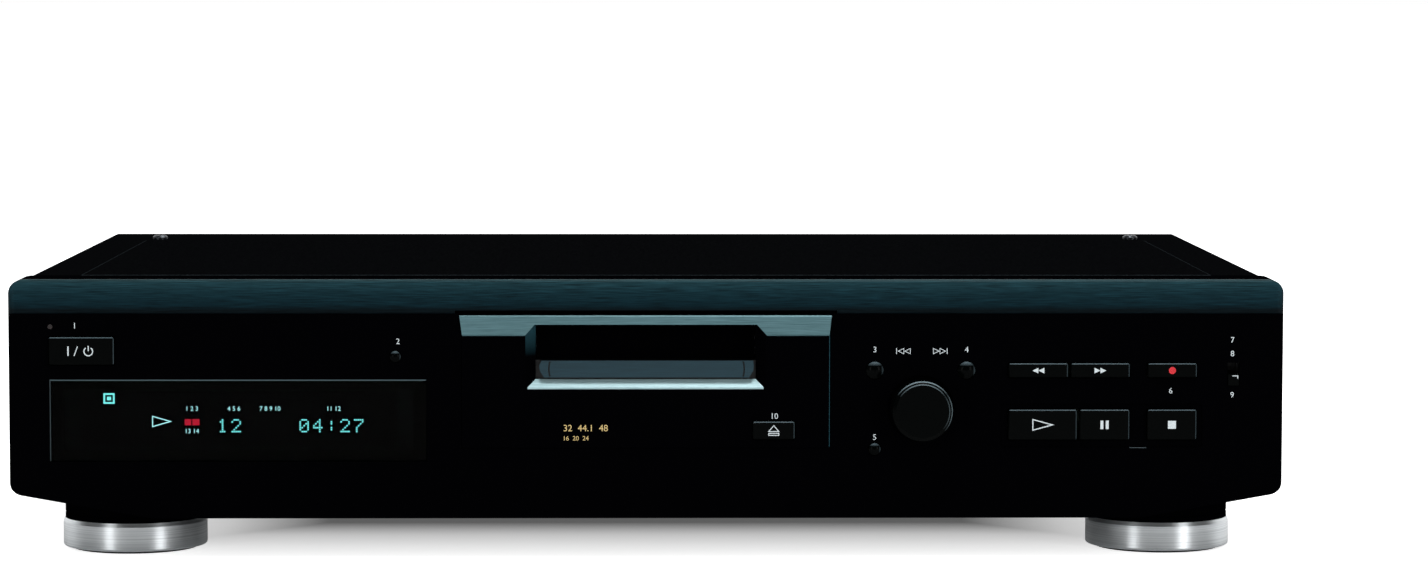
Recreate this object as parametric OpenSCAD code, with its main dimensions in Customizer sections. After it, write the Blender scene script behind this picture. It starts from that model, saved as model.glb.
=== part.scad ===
// Minidisc deck: a low, full-width hi-fi box that plays and records small disc cartridges.
// Millimetres. +X is to the right as seen from the front, +Y goes to the back and +Z is up.
// The origin is on the floor, under the middle of the whole deck.

/* [Case] */
// Width of the front panel, the widest piece
case_w = 430; // [428:1:440]
// Height of the top edge of the front panel above the floor
case_h = 95; // [94.5:0.1:96]
// Height of the underside of the front panel above the floor
case_bottom = 14; // [13.8:0.1:14.2]
// Distance of the panel's face in front of the origin
face_d = 132; // [131.5:0.1:132.5]
// Distance of the rear panel's outer face behind the origin
rear_d = 133.5; // [133:0.1:136]
// Depth of the top lip and the side walls of the front panel
lip_depth = 20; // [18:0.5:22]
// Thickness of the front panel's face
face_t = 3; // [2.8:0.1:3]
// Thickness of the front panel's lip and side walls
lip_t = 2.5; // [2:0.1:2.6]
// Radius of the two upper corners of the front panel
corner_r = 5.4; // [4:0.1:8]
// Radius of the two lower corners of the front panel
low_corner_r = 5; // [4:0.1:6]
// Distance from the middle at which the underside starts to rise
rise_start = 167; // [160:1:170]
// Angle of the rising ends of the underside, in degrees
rise_angle = 10.2; // [8:0.1:10.4]
// Thickness of the steel sheet
sheet_t = 1; // [0.8:0.1:1]
// Half the width of the top cover
cover_half_w = 212; // [211.5:0.1:212.5]
// Half the width of the raised field of the top cover
field_half_w = 194; // [180:1:196]
// Height of that raised field
field_h = 0.6; // [0.3:0.1:0.6]

/* [Band and slot] */
// Height of the lower edge of the brushed band above the floor
band_low = 83.5; // [83.4:0.1:84]
// Thickness of the brushed band
band_t = 1.4; // [1.2:0.1:1.6]
// Middle of the disc slot, measured to the right from the middle of the deck
slot_x = -0.6; // [-0.8:0.1:0]
// Half the clear width of the disc slot
slot_half_w = 37.2; // [37:0.1:37.4]
// Height of the top of the disc slot above the floor
slot_top = 79.8; // [79.5:0.1:80]
// Height of the bottom of the slot's funnel above the floor
slot_low = 61.1; // [60.8:0.1:61.3]
// Width of the slanting faces round the slot
slot_bevel = 3.3; // [2.8:0.1:3.4]
// Height of the slot's lip bar, over which the disc enters
lip_bar_top = 67.5; // [67:0.1:67.8]

/* [Keys and dial] */
// How far the keys stand out of the face
key_proud = 1.3; // [1:0.1:1.5]
// How far a key travels when it is pressed
key_travel = 0.8; // [0.5:0.1:0.9]
// Gap round each key
key_gap = 0.35; // [0.3:0.05:0.4]
// Radius of the dial
dial_r = 10.1; // [9.5:0.1:10.5]
// How far the dial stands out of the face
dial_proud = 10.5; // [9:0.1:10.6]
// Radius of the dial's shaft
dial_shaft_r = 3; // [2.8:0.1:3.1]
// Travel of the input lever
input_travel = 3.8; // [3:0.1:3.9]

/* [Feet] */
// Radius of the silver ring of a foot
foot_r = 24.7; // [22:0.1:25]
// Height of the silver ring above the floor
foot_ring_top = 10.6; // [9:0.1:11]
// Distance of the feet from the middle, to either side
foot_x = 177; // [174:1:178]
// Distance of the front feet in front of the origin
foot_front_d = 94; // [88:1:94]
// Distance of the rear feet behind the origin
foot_rear_d = 100; // [90:1:106]

/* [Disc drive] */
// Width of a disc cartridge
disc_w = 72; // [72:0.1:72.2]
// Thickness of a disc cartridge
disc_t = 5; // [4.9:0.1:5.1]
// Height of the cartridge's underside while it slides in
disc_z = 68.6; // [68.5:0.1:68.7]
// How far the disc holder goes down to play
holder_drop = 5; // [4:0.1:5]
// How far the loading slider moves to lower the holder
slider_travel = 12; // [10:0.5:12]
// How far the pickup sled moves from the inner track to the outer one
sled_travel = 17; // [14:0.5:17]

/* [Hidden] */
$fn = 64;

// Small overlap that lets a cut run past the face it opens
past = 1;
// Clearance of a shaft or a screw in its hole
fit = 0.05;
// Clearance between pieces that are fastened together
seam = 0.15;

// --- Case, worked out ---
face_y = -face_d;
half_w = case_w / 2;
panel_in_y = face_y + face_t;
lip_y = face_y + lip_depth;
// Height at which the face starts to lean back towards the underside, and how far it leans
lean_z = 27;
lean_back = 1.6;
// Depth of the short return under the panel, clear of the feet
return_y = face_y + 11;
// Height above which the side walls of the panel have their full depth
side_low_z = 24;
// Radius of the panel's vertical front edges
edge_r = 2.5;
// How far the band and the slot plate stand out of the face
band_proud = 0.3;
// Height of the band's lower edge where it steps up over the slot bezel, and where it does
band_notch_z = 84.6;
band_notch = [-64.8, 64.0];

// Steel base: its underside, half its width, its front edge and the tops of its flanges
base_z = case_bottom + 0.5;
base_half_w = cover_half_w - sheet_t - 0.1;
base_front_y = return_y;
flange_top = 45;
front_flange_top = 27;
// Top cover: flat margin, front and rear edges, lower edge and radius of the shoulders
cover_top = case_h - field_h;
cover_front_y = lip_y + 0.3;
cover_rear_y = rear_d + 1.1;
cover_low_z = 24;
cover_r = 2.4;
// Raised field of the cover: width of its slanting flanks, its front and rear edges
field_flank = 1.4;
field_front_y = cover_front_y + 0.5;
field_rear_y = 86.5;
// Rear panel: its top edge, the depth of the shelf along it, and the ears that meet the cover
rear_top = cover_top - sheet_t - 0.1;
rear_shelf_d = 12;
rear_ear_half_w = 9;
// Air slots: radius of their round ends, and how many there are in each row
vent_r = 1.5;
vent_n = 10;

// Height of the sloping underside at a distance x from the middle
function base_line(x) = base_z + max(0, abs(x) - rise_start) * tan(rise_angle);

// --- Screws: one size holds the whole deck, and these are the places of its seats ---
screw_r = 1.45;
screw_len = 5;
head_r = 2.9;
head_h = 1.5;
// Cross cut in the head: half its length, its width and its depth
cross_half = 1.7;
cross_w = 0.7;
cross_depth = 0.9;
hole_r = screw_r + fit;
top_screw = [189.6, 101.5];
side_screw_y = [-60, 70];
side_screw_z = 34;
rear_high_x = [-120, 0, 120];
rear_high_z = 88;
rear_low_x = [-150, -50, 50, 150];
rear_low_z = 20;
front_boss_x = [-150, 0, 150];
front_boss_z = 21.5;
front_boss_r = 4;
foot_seat_z = 12.6;
// Feet: middles along Y, and the inner radius of the ring
foot_y = [-foot_front_d, foot_rear_d];
foot_ring_in = 22;
// Well for the foot's screw, and the thickness of its pad
foot_well_r = 4;
foot_pad_t = 1.4;

// --- Main board: its outline, its bosses, its height and its cable sockets ---
main_x = [-78, 190];
main_y = [2, 124];
board_boss = [[-71, 9], [-71, 117], [60, 9], [160, 9], [160, 117]];
board_boss_r = 3;
board_z = 24;
board_t = 1.6;
board_top = board_z + board_t;
ribbon_x = [-42, 46, 0];
ribbon_half_w = 6;
ribbon_t = 0.4;
ribbon_socket_half_w = 11;
ribbon_socket_y = [8, 13];
ribbon_socket_h = 6;

// --- Front controls, measured on the face: x from the middle, z above the floor ---
power_box = [-201.1, -179.3, 66.3, 75.6];
eject_box = [35.6, 49.6, 41.0, 47.0];
rewind_box = [121.9, 141.8, 61.9, 66.7];
forward_box = [142.9, 162.7, 61.9, 66.7];
record_box = [168.9, 185.4, 61.9, 66.7];
play_box = [121.9, 144.9, 40.8, 51.0];
pause_box = [146.0, 162.7, 40.8, 51.0];
stop_box = [168.9, 185.4, 40.8, 51.0];
scroll_at = [-84.9, 69.0];
menu_at = [76.7, 64.3];
yes_at = [107.7, 64.3];
clear_at = [76.7, 37.6];
scroll_r = 1.85;
menu_r = 2.9;
clear_r = 2.0;
// Corner radius of a key, bevel round its face, and corner radius of the hole it moves in
key_corner_r = 0.7;
key_bevel = 0.3;
key_hole_r = 0.8;
// Gap round a round key
round_gap = 0.3;
dial_at = [92.3, 51.3];
dial_hole_r = 4.2;
dish_r = 11.3;
dish_depth = 1;
lamp_at = [-200.7, 79.1];
lamp_r = 0.8;
// Display window: its outline, what is seen through it, and its thickness behind the face
window_box = [-201.1, -74.5, 33.6, 61.2];
window_view = [-196.5, -79, 37, 58];
window_t = 1.6;
// Input lever: the slot in the face and the grip at the lower end of its travel
input_slot = [195.9, 200.1, 58.9, 66.9];
input_grip = [196.2, 199.8, 59.1, 62.9];
// Shallow tray round the play, pause and stop keys
key_tray = [119.3, 187.6, 38.1, 53.0];
tray_depth = 0.5;
tray_r = 1;

// --- Behind the face ---
board_y = -118;
front_board_t = 1.6;
board_posts = [
  [-202, 33], [-202, 61.5], [-69.3, 33], [-69.3, 80], [67, 80], [200.5, 80], [200.5, 33], [36, 33]
];
board_post_r = 2.4;
// Push switch: its width and depth, and the well that the key's stem reaches into
switch_w = 6;
switch_d = 4.3;
switch_y = board_y - switch_d;
well_r = 1.9;
well_depth = key_travel + 0.7;
// Stem of a key: its radius and where it ends
post_r = 1.6;
post_y = switch_y + 0.3;
// Flange that keeps a key in: its gap to the panel, its thickness and its reach above and below
key_rest = 0.3;
key_flange_t = 1;
key_flange_h = 1.2;
// Dial: the planes of the knob's face and back, the encoder's front, and its moving sleeve
dial_front_y = face_y - dial_proud;
dial_back_y = face_y - 0.2;
dial_seat = 2;
encoder_y = board_y - 6.5;
encoder_half_w = 6;
plunger_r = 4.4;
tail_r = 1;

// --- Slot ---
plate_box = [-62.5, 61.5, 38.1, 82.9];
plate_flange_y = panel_in_y + 1.2;
plate_front_y = face_y - band_proud;
// Bar over the slot: how far it stands out and in, its lower edge, and x of its slanting corners
bar_proud = 0.8;
bar_back = 0.5;
bar_low_z = 76.0;
bar_top_x = [-63.3, 62.1];
bar_low_x = [-62.4, 61.3];
bar_notch_low_x = [-41.3, 40.4];
bar_notch_top_x = [-38, 36.9];
// Tunnel behind the slot
tunnel_wall = 2;
tunnel_back_y = -119;
tunnel_roof_y = -124.6;
tunnel_head = 2.6;
lip_front_y = face_y + 1;
lip_back_y = -124;
lip_base_y = -128;
// Flap: where it hangs, its thickness, half its width, its lower edge and its two radii
flap_y = -121.8;
flap_z = slot_top + 0.8;
flap_t = 1.2;
flap_half_w = slot_half_w - 0.3;
flap_low = 66.9;
flap_barrel_r = 1.2;
flap_pin_r = 0.8;
// Sill: its thickness, and how far it reaches down the slanting face
sill_t = 0.6;
sill_reach = 2.6;

// --- Disc drive: x is measured from the middle of the slot ---
holder_front_y = -107.4;
holder_t = 0.8;
holder_half_w = disc_w / 2 + 0.9;
holder_rear_y = holder_front_y + 69;
holder_in_z = disc_z - 0.4;
holder_top_z = holder_in_z + disc_t + 0.8;
rail_w = 3.5;
spindle_y = holder_front_y + 34.2;
// Pins of the holder, which slide in the cams and in the upright slots
cam_pin_y = [-90, -50];
cam_pin_z = 71;
cam_pin_r = 1.2;
cam_gap = 0.3;
// Loading slider: thickness, height and length of its two side plates
slider_x = [44.8, 46];
slider_z = [63.2, 74.2];
slider_y = [-105, -26];
// Base of the drive: its side walls, its floor, its length and the tops of its rod holders
wall_x = [48.3, 49.5];
wall_top_z = 77;
drive_floor = [54.8, 56];
drive_y = [-107, -6];
support_z = 61.6;
support_x = [45, wall_x[0]];
support_half_d = 2.5;
// Guide rods, lead screw and its motor
rod_z = 59.3;
rod_r = 1.5;
rod_y = [spindle_y - 18.5, spindle_y + 19];
screw_y = spindle_y + 26.7;
screw_motor_x = [-22, -4];
screw_motor_r = 4;
spindle_motor_r = 10.5;
loading_motor_r = 7.5;
motor_clear_r = 11.6;
// Sled with its lens and the post of the head arm
sled_x = [8, 27];
sled_y = [-95, -33];
sled_z = [57.2, 61.4];
lens_x = 14.5;
arm_pin_y = -35.2;
arm_pin_z = 77.6;
arm_pin_r = 1;
// Gears: module and teeth of the small gear that drives the rack, and of the wheel and pinion
gear_m = 0.8;
gear_n = 16;
wheel_m = 0.5;
wheel_n = 40;
pinion_n = 16;
rack_x = -42.8;
gear_x = rack_x + gear_m * gear_n / 2;
gear_y = -19;
gear_z = [63.6, 66.4];
wheel_z = [58.6, 60.4];
gear_axle_r = 1.5;
pinion_x = gear_x + wheel_m * (wheel_n + pinion_n) / 2;
motor_shaft_r = 0.75;
// Tooth: share of the pitch that it fills, height over the pitch line, and slope of its flanks
tooth_share = 0.88;
tooth_tip = 0.9;
tooth_root = 1.25;
tooth_slope = 0.36;
// Bracket under the drive, on rubber dampers
damper_at = [[44, -100], [44, -12]];
bracket_z = [49.6, 50.8];
bracket_half_w = 56;
bracket_foot_z = 19.5;
bracket_sheet_t = 1.2;
bracket_foot_w = 11;
bracket_screw_x = bracket_half_w + 6;
bracket_screw_y = [drive_y[0] + 12, drive_y[1] - 12];
bracket_boss_r = 3.4;

// --- Transformer ---
transformer_at = [-124, 62];
core_w = 66;
core_d = 30;
core_h = 55;
coil_d = 46;
// Ears of the core: their reach, their thickness and the distance of their holes
ear_reach = 9;
ear_t = 1.5;
ear_hole = core_w / 2 + 5;
transformer_ear_x = [transformer_at[0] - ear_hole, transformer_at[0] + ear_hole];

// --- Rear sockets: x and z of their middles ---
jack_x = [120, 138];
jack_z = [46, 62];
// Metal shell: its radius, and the small step down where it sits in the moulding
jack_r = 4.15;
jack_step = 0.15;
jack_bare = 9;
jack_seat_y = rear_d - 4;
// White core: its radius, how far it stays inside the shell, and its bore for the plug's pin
jack_core_r = 3.4;
jack_core_in = 1.5;
jack_pin_r = 1.6;
jack_pin_y = rear_d - 2;
// Black moulding: its collar, its margin round the sockets and its depth
jack_collar_y = rear_d + 1.5;
jack_collar_r = 5.5;
jack_rim = 9;
jack_block_d = 16;
// Optical sockets: half their outside size, the size and depth of the opening, and the lens
optical_x = [70, 90];
optical_z = 50;
optical_half = [6.5, 5.9];
optical_open = [9.8, 8.6];
optical_depth = 9;
optical_proud = 0.6;
optical_lens_r = 1.3;
// Gland: its middle, its bore, and the radii of its neck and its inner and outer flanges
gland_at = [-170, 45];
gland_bore_r = 3.3;
gland_neck_r = 6.85;
gland_in_r = 8.2;
gland_out_r = 8.8;

// --- Colours ---
black_plastic = "#101113";
black_gloss = "#08090a";
key_black = "#17181a";
brushed = "#4a5a60";
bright = "#a9bcc0";
steel_black = "#0c0c0d";
steel = "#b9bcbe";
silver = "#c9cacb";
board_green = "#1f4a2c";
rubber = "#1c1c1c";

// Extrudes a drawing of x and z along Y, from one y to the other
module along_y(y0, y1) {
  translate([0, y1, 0])
    rotate([90, 0, 0])
      linear_extrude(y1 - y0)
        children();
}

// Extrudes a drawing of y and z along X
module along_x(x0, x1) {
  translate([x0, 0, 0])
    rotate([90, 0, 90])
      linear_extrude(x1 - x0)
        children();
}

// Extrudes a drawing of x and y along Z
module along_z(z0, z1) {
  translate([0, 0, z0])
    linear_extrude(z1 - z0)
      children();
}

// A box between two values on each axis
module block(x, y, z) {
  translate([x[0], y[0], z[0]])
    cube([x[1] - x[0], y[1] - y[0], z[1] - z[0]]);
}

// Round bars along an axis, through a point
module bar_x(r, x, y, z) {
  translate([x[0], y, z])
    rotate([0, 90, 0])
      cylinder(r = r, h = x[1] - x[0]);
}

module bar_y(r, x, y, z) {
  translate([x, y[1], z])
    rotate([90, 0, 0])
      cylinder(r = r, h = y[1] - y[0]);
}

module bar_z(r, x, y, z) {
  translate([x, y, z[0]])
    cylinder(r = r, h = z[1] - z[0]);
}

// A flat rectangle [x0, x1, z0, z1], larger all round by g, with corners of radius r
module flat_box(b, g = 0, r = 0) {
  x0 = b[0] - g;
  x1 = b[1] + g;
  z0 = b[2] - g;
  z1 = b[3] + g;
  if (r == 0) {
    translate([x0, z0])
      square([x1 - x0, z1 - z0]);
  } else {
    translate([x0 + r, z0])
      square([x1 - x0 - 2 * r, z1 - z0]);
    translate([x0, z0 + r])
      square([x1 - x0, z1 - z0 - 2 * r]);
    for (x = [x0 + r, x1 - r], z = [z0 + r, z1 - r])
      translate([x, z])
        circle(r = r);
  }
}

// A slot with round ends between two points of a drawing
module long_hole(p, q, r) {
  turn = atan2(q[1] - p[1], q[0] - p[0]);
  translate(p) {
    circle(r = r);
    rotate(turn)
      translate([0, -r])
        square([norm(q - p), 2 * r]);
  }
  translate(q)
    circle(r = r);
}

// The same shape on both sides of the slot's middle
module both_sides() {
  translate([slot_x, 0, 0]) {
    children();
    mirror([1, 0, 0])
      children();
  }
}

// What a rounding of radius r takes off a corner: c is its centre, a0 and a1 the angles it spans
module corner_cut(c, r, a0, a1) {
  out = r + past;
  far = out / cos((a1 - a0) / 2);
  difference() {
    polygon([
      c, c + out * [cos(a0), sin(a0)], c + far * [cos((a0 + a1) / 2), sin((a0 + a1) / 2)],
      c + out * [cos(a1), sin(a1)]
    ]);
    translate(c)
      circle(r = r);
  }
}

// Front view of the case, moved in by g: rounded corners and rising ends
module case_outline(g = 0) {
  w = half_w - g;
  top = case_h - g;
  rt = corner_r - g;
  rb = low_corner_r - g;
  kink = rise_start - g * tan(rise_angle / 2);
  low = case_bottom + g / cos(rise_angle) + (w - rise_start) * tan(rise_angle);
  zc = low + (rb - rb * sin(rise_angle)) / cos(rise_angle);
  difference() {
    polygon([
      [-w, top], [w, top], [w, low], [kink, case_bottom + g], [-kink, case_bottom + g], [-w, low]
    ]);
    for (s = [0, 1])
      mirror([s, 0]) {
        corner_cut([w - rt, top - rt], rt, 0, 90);
        corner_cut([w - rb, zc], rb, rise_angle - 90, 0);
      }
  }
}

// Plan of the case front, which rounds the two vertical front edges
module case_plan() {
  flat_box([-half_w, half_w, face_y - band_proud, lip_y + 3 * edge_r], 0, edge_r);
}

// A sheet-metal screw: shank down from the seat, cross-cut head on top of it
module screw() {
  difference() {
    union() {
      cylinder(r = head_r, h = head_h / 2);
      translate([0, 0, head_h / 2])
        cylinder(r1 = head_r, r2 = head_r - 0.7, h = head_h / 2);
      translate([0, 0, -screw_len])
        cylinder(r = screw_r, h = screw_len);
    }
    for (a = [0, 90])
      rotate(a)
        translate([-cross_half, -cross_w / 2, head_h - cross_depth])
          cube([2 * cross_half, cross_w, past + cross_depth]);
  }
}

// Front panel: moulded shell with the openings of the face, its bosses and its board posts
module front_panel() {
  color(black_plastic) {
    difference() {
      intersection() {
        along_y(face_y, lip_y)
          case_outline();
        along_x(-case_w, case_w)
          polygon([
            [face_y, lean_z], [face_y + lean_back, case_bottom - past], [return_y, case_bottom - past],
            [return_y, side_low_z], [lip_y, side_low_z], [lip_y, case_h + past],
            [face_y + band_t - band_proud, case_h + past], [face_y + band_t - band_proud, band_low],
            [face_y, band_low]
          ]);
        along_z(0, case_h + past)
          case_plan();
      }
      difference() {
        along_y(panel_in_y, lip_y + past)
          case_outline(lip_t);
        for (x = front_boss_x)
          bar_y(front_boss_r, x, [face_y, return_y], front_boss_z);
        for (p = board_posts)
          bar_y(board_post_r, p[0], [face_y, board_y], p[1]);
      }
      for (p = board_posts)
        bar_y(hole_r, p[0], [panel_in_y + past, board_y + past], p[1]);
      for (x = front_boss_x)
        bar_y(hole_r, x, [panel_in_y, return_y + past], front_boss_z);
      through_face()
        flat_box(plate_box, seam);
      along_y(face_y - past, face_y + bar_back + seam)
        bezel_outline(seam);
      through_face()
        flat_box(window_view);
      along_y(face_y - past, face_y + window_t)
        flat_box(window_box, seam);
      for (b = [power_box, record_box, stop_box])
        through_face()
          flat_box(b, key_gap, key_hole_r);
      through_face()
        flat_box([rewind_box[0], forward_box[1], rewind_box[2], rewind_box[3]], key_gap, key_hole_r);
      through_face()
        flat_box([play_box[0], pause_box[1], play_box[2], play_box[3]], key_gap, key_hole_r);
      along_y(face_y - past, face_y + tray_depth)
        flat_box(key_tray, 0, tray_r);
      through_face()
        flat_box(input_slot);
      round_hole(scroll_at, scroll_r + round_gap);
      round_hole(menu_at, menu_r + round_gap);
      round_hole(yes_at, menu_r + round_gap);
      round_hole(clear_at, clear_r + round_gap);
      round_hole(lamp_at, lamp_r + fit);
      round_hole(dial_at, dial_hole_r);
      bar_y(dish_r, dial_at[0], [face_y - past, face_y + dish_depth], dial_at[1]);
    }
  }
}

// Cuts a drawing right through the panel's face
module through_face() {
  along_y(face_y - past, panel_in_y + past)
    children();
}

module round_hole(at, r) {
  bar_y(r, at[0], [face_y - past, panel_in_y + past], at[1]);
}

// Brushed aluminium strip along the top of the face, with a bevel on its upper and lower edges
module brushed_band() {
  front = face_y - band_proud;
  bevel = 0.7;
  low_bevel = 0.4;
  color(brushed)
    difference() {
      intersection() {
        along_y(front, front + band_t)
          case_outline();
        along_x(-case_w, case_w)
          polygon([
            [front, band_low + low_bevel], [front + low_bevel, band_low], [front + band_t, band_low],
            [front + band_t, case_h], [front + bevel, case_h], [front, case_h - bevel]
          ]);
        along_z(0, case_h + past)
          case_plan();
      }
      block(band_notch, [front - past, front + band_t + past], [band_low - past, band_notch_z]);
    }
}

// Everything between the slanting faces at the sides and the bottom, as one wedge-shaped solid
module funnel_space(drop = 0) {
  front = plate_front_y - past;
  inner = plate_front_y + slot_bevel;
  reach = slot_bevel + past;
  translate([slot_x, 0, 0])
    intersection() {
      along_z(slot_low - reach - past, slot_top)
        polygon([
          [-slot_half_w - reach, front], [slot_half_w + reach, front], [slot_half_w, inner],
          [-slot_half_w, inner]
        ]);
      along_x(-slot_half_w - reach, slot_half_w + reach)
        polygon([
          [front, slot_low - reach - drop], [inner, slot_low - drop], [inner, slot_top],
          [front, slot_top]
        ]);
    }
}

// Plate round the slot, with the slanting faces, the tunnel behind them and the flap's bearings
module slot_plate() {
  color(black_gloss)
    difference() {
      union() {
        along_y(plate_front_y, panel_in_y)
          flat_box(plate_box, 0, 0.6);
        along_y(panel_in_y, plate_flange_y)
          flat_box(plate_box, tunnel_wall);
        both_sides()
          block([slot_half_w, slot_half_w + tunnel_wall], [plate_flange_y, tunnel_back_y],
            [slot_low - tunnel_wall, slot_top + tunnel_head]);
        translate([slot_x, 0, 0])
          block([-slot_half_w, slot_half_w], [plate_flange_y, lip_back_y],
            [slot_low - tunnel_wall, slot_low]);
        translate([slot_x, 0, 0])
          block([-slot_half_w, slot_half_w], [plate_flange_y, tunnel_roof_y],
            [slot_top, slot_top + tunnel_wall]);
      }
      funnel_space();
      funnel_space(sill_t);
      translate([slot_x, 0, 0])
        block([-slot_half_w, slot_half_w], [face_y, lip_back_y], [slot_low, slot_top]);
      along_y(plate_front_y - past, face_y + bar_back)
        bezel_outline(fit);
      along_y(plate_front_y - past, plate_flange_y + past)
        flat_box(eject_box, key_gap, key_hole_r);
      both_sides()
        bar_x(flap_pin_r + fit, [slot_half_w - past, slot_half_w + tunnel_wall + past], flap_y, flap_z);
    }
}

// Front view of the bar over the slot: slanting ends, and a notch with slanting corners
module bezel_outline(g = 0) {
  high = plate_box[3] + g;
  low = bar_low_z - g;
  polygon([
    [bar_top_x[0] - g, high], [bar_top_x[1] + g, high], [bar_low_x[1] + g, low],
    [bar_notch_low_x[1] - g, low], [bar_notch_top_x[1] - g, slot_top - g],
    [bar_notch_top_x[0] + g, slot_top - g], [bar_notch_low_x[0] + g, low], [bar_low_x[0] - g, low]
  ]);
}

// Brushed bar over the slot, with a fine bevel along its upper and lower edges
module slot_bezel() {
  front = face_y - bar_proud;
  back = face_y + bar_back;
  bevel = 0.4;
  color(bright)
    intersection() {
      along_y(front, back)
        bezel_outline();
      along_x(-half_w, half_w)
        polygon([
          [front, bar_low_z + bevel], [front + bevel, bar_low_z], [back, bar_low_z],
          [back, plate_box[3]], [front + bevel, plate_box[3]], [front, plate_box[3] - bevel]
        ]);
    }
}

// Bright strip that lies on the slanting face under the slot
module slot_sill() {
  back = plate_front_y + slot_bevel;
  front = back - sill_reach;
  color(bright)
    translate([slot_x, 0, 0])
      intersection() {
        along_x(-half_w, half_w)
          polygon([
            [front, slot_low - sill_reach - sill_t], [front, slot_low - sill_reach], [back, slot_low],
            [back, slot_low - sill_t]
          ]);
        along_z(0, case_h)
          polygon([
            [-slot_half_w - sill_reach, front], [slot_half_w + sill_reach, front], [slot_half_w, back],
            [-slot_half_w, back]
          ]);
      }
}

// Bar that fills the lower part of the slot, with cut corners and a curved groove at each end
module slot_lip() {
  w = disc_w / 2 + 0.2;
  low = slot_low + 0.7;
  high = lip_bar_top;
  back_w = slot_half_w - 0.3;
  groove_r = 9;
  groove_w = 0.5;
  groove_d = 0.4;
  groove_half_h = 2.6;
  groove_in = 3;
  color("#33474e")
    translate([slot_x + 0.3, 0, 0])
      difference() {
        union() {
          along_y(lip_front_y, lip_base_y)
            polygon([
              [-w + 0.7, high], [w - 0.3, high], [w, high - 1.8], [w - 0.2, low + 2.2],
              [w - 1.6, low], [-w + 1.6, low], [-w + 0.2, low + 2.2], [-w, high - 1.8]
            ]);
          along_y(lip_base_y, lip_back_y)
            polygon([
              [-slot_half_w - 0.3, slot_low], [back_w, slot_low], [back_w, high],
              [-slot_half_w - 0.3, high]
            ]);
        }
        for (s = [-1, 1])
          translate([s * (w - groove_in - groove_r), lip_front_y - past, (low + high) / 2])
            rotate([-90, 0, 0])
              intersection() {
                difference() {
                  cylinder(r = groove_r, h = past + groove_d);
                  translate([0, 0, -past])
                    cylinder(r = groove_r - groove_w, h = 3 * past + groove_d);
                }
                translate([s > 0 ? 0 : -groove_r, -groove_half_h, -past])
                  cube([groove_r, 2 * groove_half_h, 3 * past + groove_d]);
              }
      }
}

// Flap that closes the slot: a blade under a barrel, on a pin at each end
module slot_flap() {
  color(black_gloss)
    translate([slot_x, 0, 0]) {
      block([-flap_half_w, flap_half_w], [flap_y - flap_t / 2, flap_y + flap_t / 2],
        [flap_low, flap_z]);
      bar_x(flap_barrel_r, [-flap_half_w, flap_half_w], flap_y, flap_z);
      bar_x(flap_pin_r, [-slot_half_w - tunnel_wall + 0.2, slot_half_w + tunnel_wall - 0.2],
        flap_y, flap_z);
    }
}

// Dark window over the display, with a bevel on all four sides
module display_window() {
  front = face_y - 0.2;
  back = face_y + window_t;
  bevel = 0.35;
  color(black_gloss)
    intersection() {
      along_y(front, back)
        flat_box(window_box);
      along_x(-half_w, half_w)
        polygon([
          [front, window_box[2] + bevel], [front + bevel, window_box[2]], [back, window_box[2]],
          [back, window_box[3]], [front + bevel, window_box[3]], [front, window_box[3] - bevel]
        ]);
      along_z(0, case_h)
        polygon([
          [window_box[0] + bevel, front], [window_box[1] - bevel, front],
          [window_box[1], front + bevel], [window_box[1], back], [window_box[0], back],
          [window_box[0], front + bevel]
        ]);
    }
}

// Fluorescent display: a flat glass envelope with its row of leads above and below
module display_tube() {
  tube = [-191, -85, 38.5, 56.5];
  front = panel_in_y + 0.8;
  back = panel_in_y + 4.4;
  lead_n = 22;
  lead_w = 0.5;
  lead_in = 8;
  pitch = (tube[1] - tube[0] - 2 * lead_in) / (lead_n - 1);
  color("#1d2a2c") {
    along_y(front, back)
      flat_box(tube, 0, 0.8);
    for (i = [0:lead_n - 1], z = [tube[2] + 0.6, tube[3] - 1.1])
      translate([tube[0] + lead_in + i * pitch, back, z])
        cube([lead_w, board_y - back, lead_w]);
  }
}

// Small red lamp: a pin through the face, and its body on the board
module standby_lamp() {
  color("#5a1010") {
    bar_y(lamp_r, lamp_at[0], [face_y - 0.3, board_y - 2], lamp_at[1]);
    bar_y(1.5, lamp_at[0], [board_y - 4.5, board_y], lamp_at[1]);
  }
}

// Middle of a key's box
function middle(b) = [(b[0] + b[1]) / 2, (b[2] + b[3]) / 2];

// The stem behind a key's cap, whose end works the switch
module key_stem(at, flange_y) {
  bar_y(post_r, at[0], [flange_y, post_y], at[1]);
}

// An oblong key: bevelled cap, a flange above and below that holds it in, and its stem
module bar_key(b, back = 0) {
  bevel = key_bevel;
  front = face_y - key_proud;
  flange_y = panel_in_y + key_rest + back;
  color(key_black) {
    intersection() {
      along_y(front, flange_y)
        flat_box(b, 0, key_corner_r);
      along_x(-half_w, half_w)
        polygon([
          [front, b[2] + bevel], [front + bevel, b[2]], [flange_y, b[2]], [flange_y, b[3]],
          [front + bevel, b[3]], [front, b[3] - bevel]
        ]);
      along_z(0, case_h)
        polygon([
          [b[0] + bevel, front], [b[1] - bevel, front], [b[1], front + bevel], [b[1], flange_y],
          [b[0], flange_y], [b[0], front + bevel]
        ]);
    }
    along_y(flange_y, flange_y + key_flange_t)
      flat_box([b[0] + 0.2, b[1] - 0.2, b[2] - key_flange_h, b[3] + key_flange_h]);
    key_stem(middle(b), flange_y + key_flange_t);
  }
}

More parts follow.
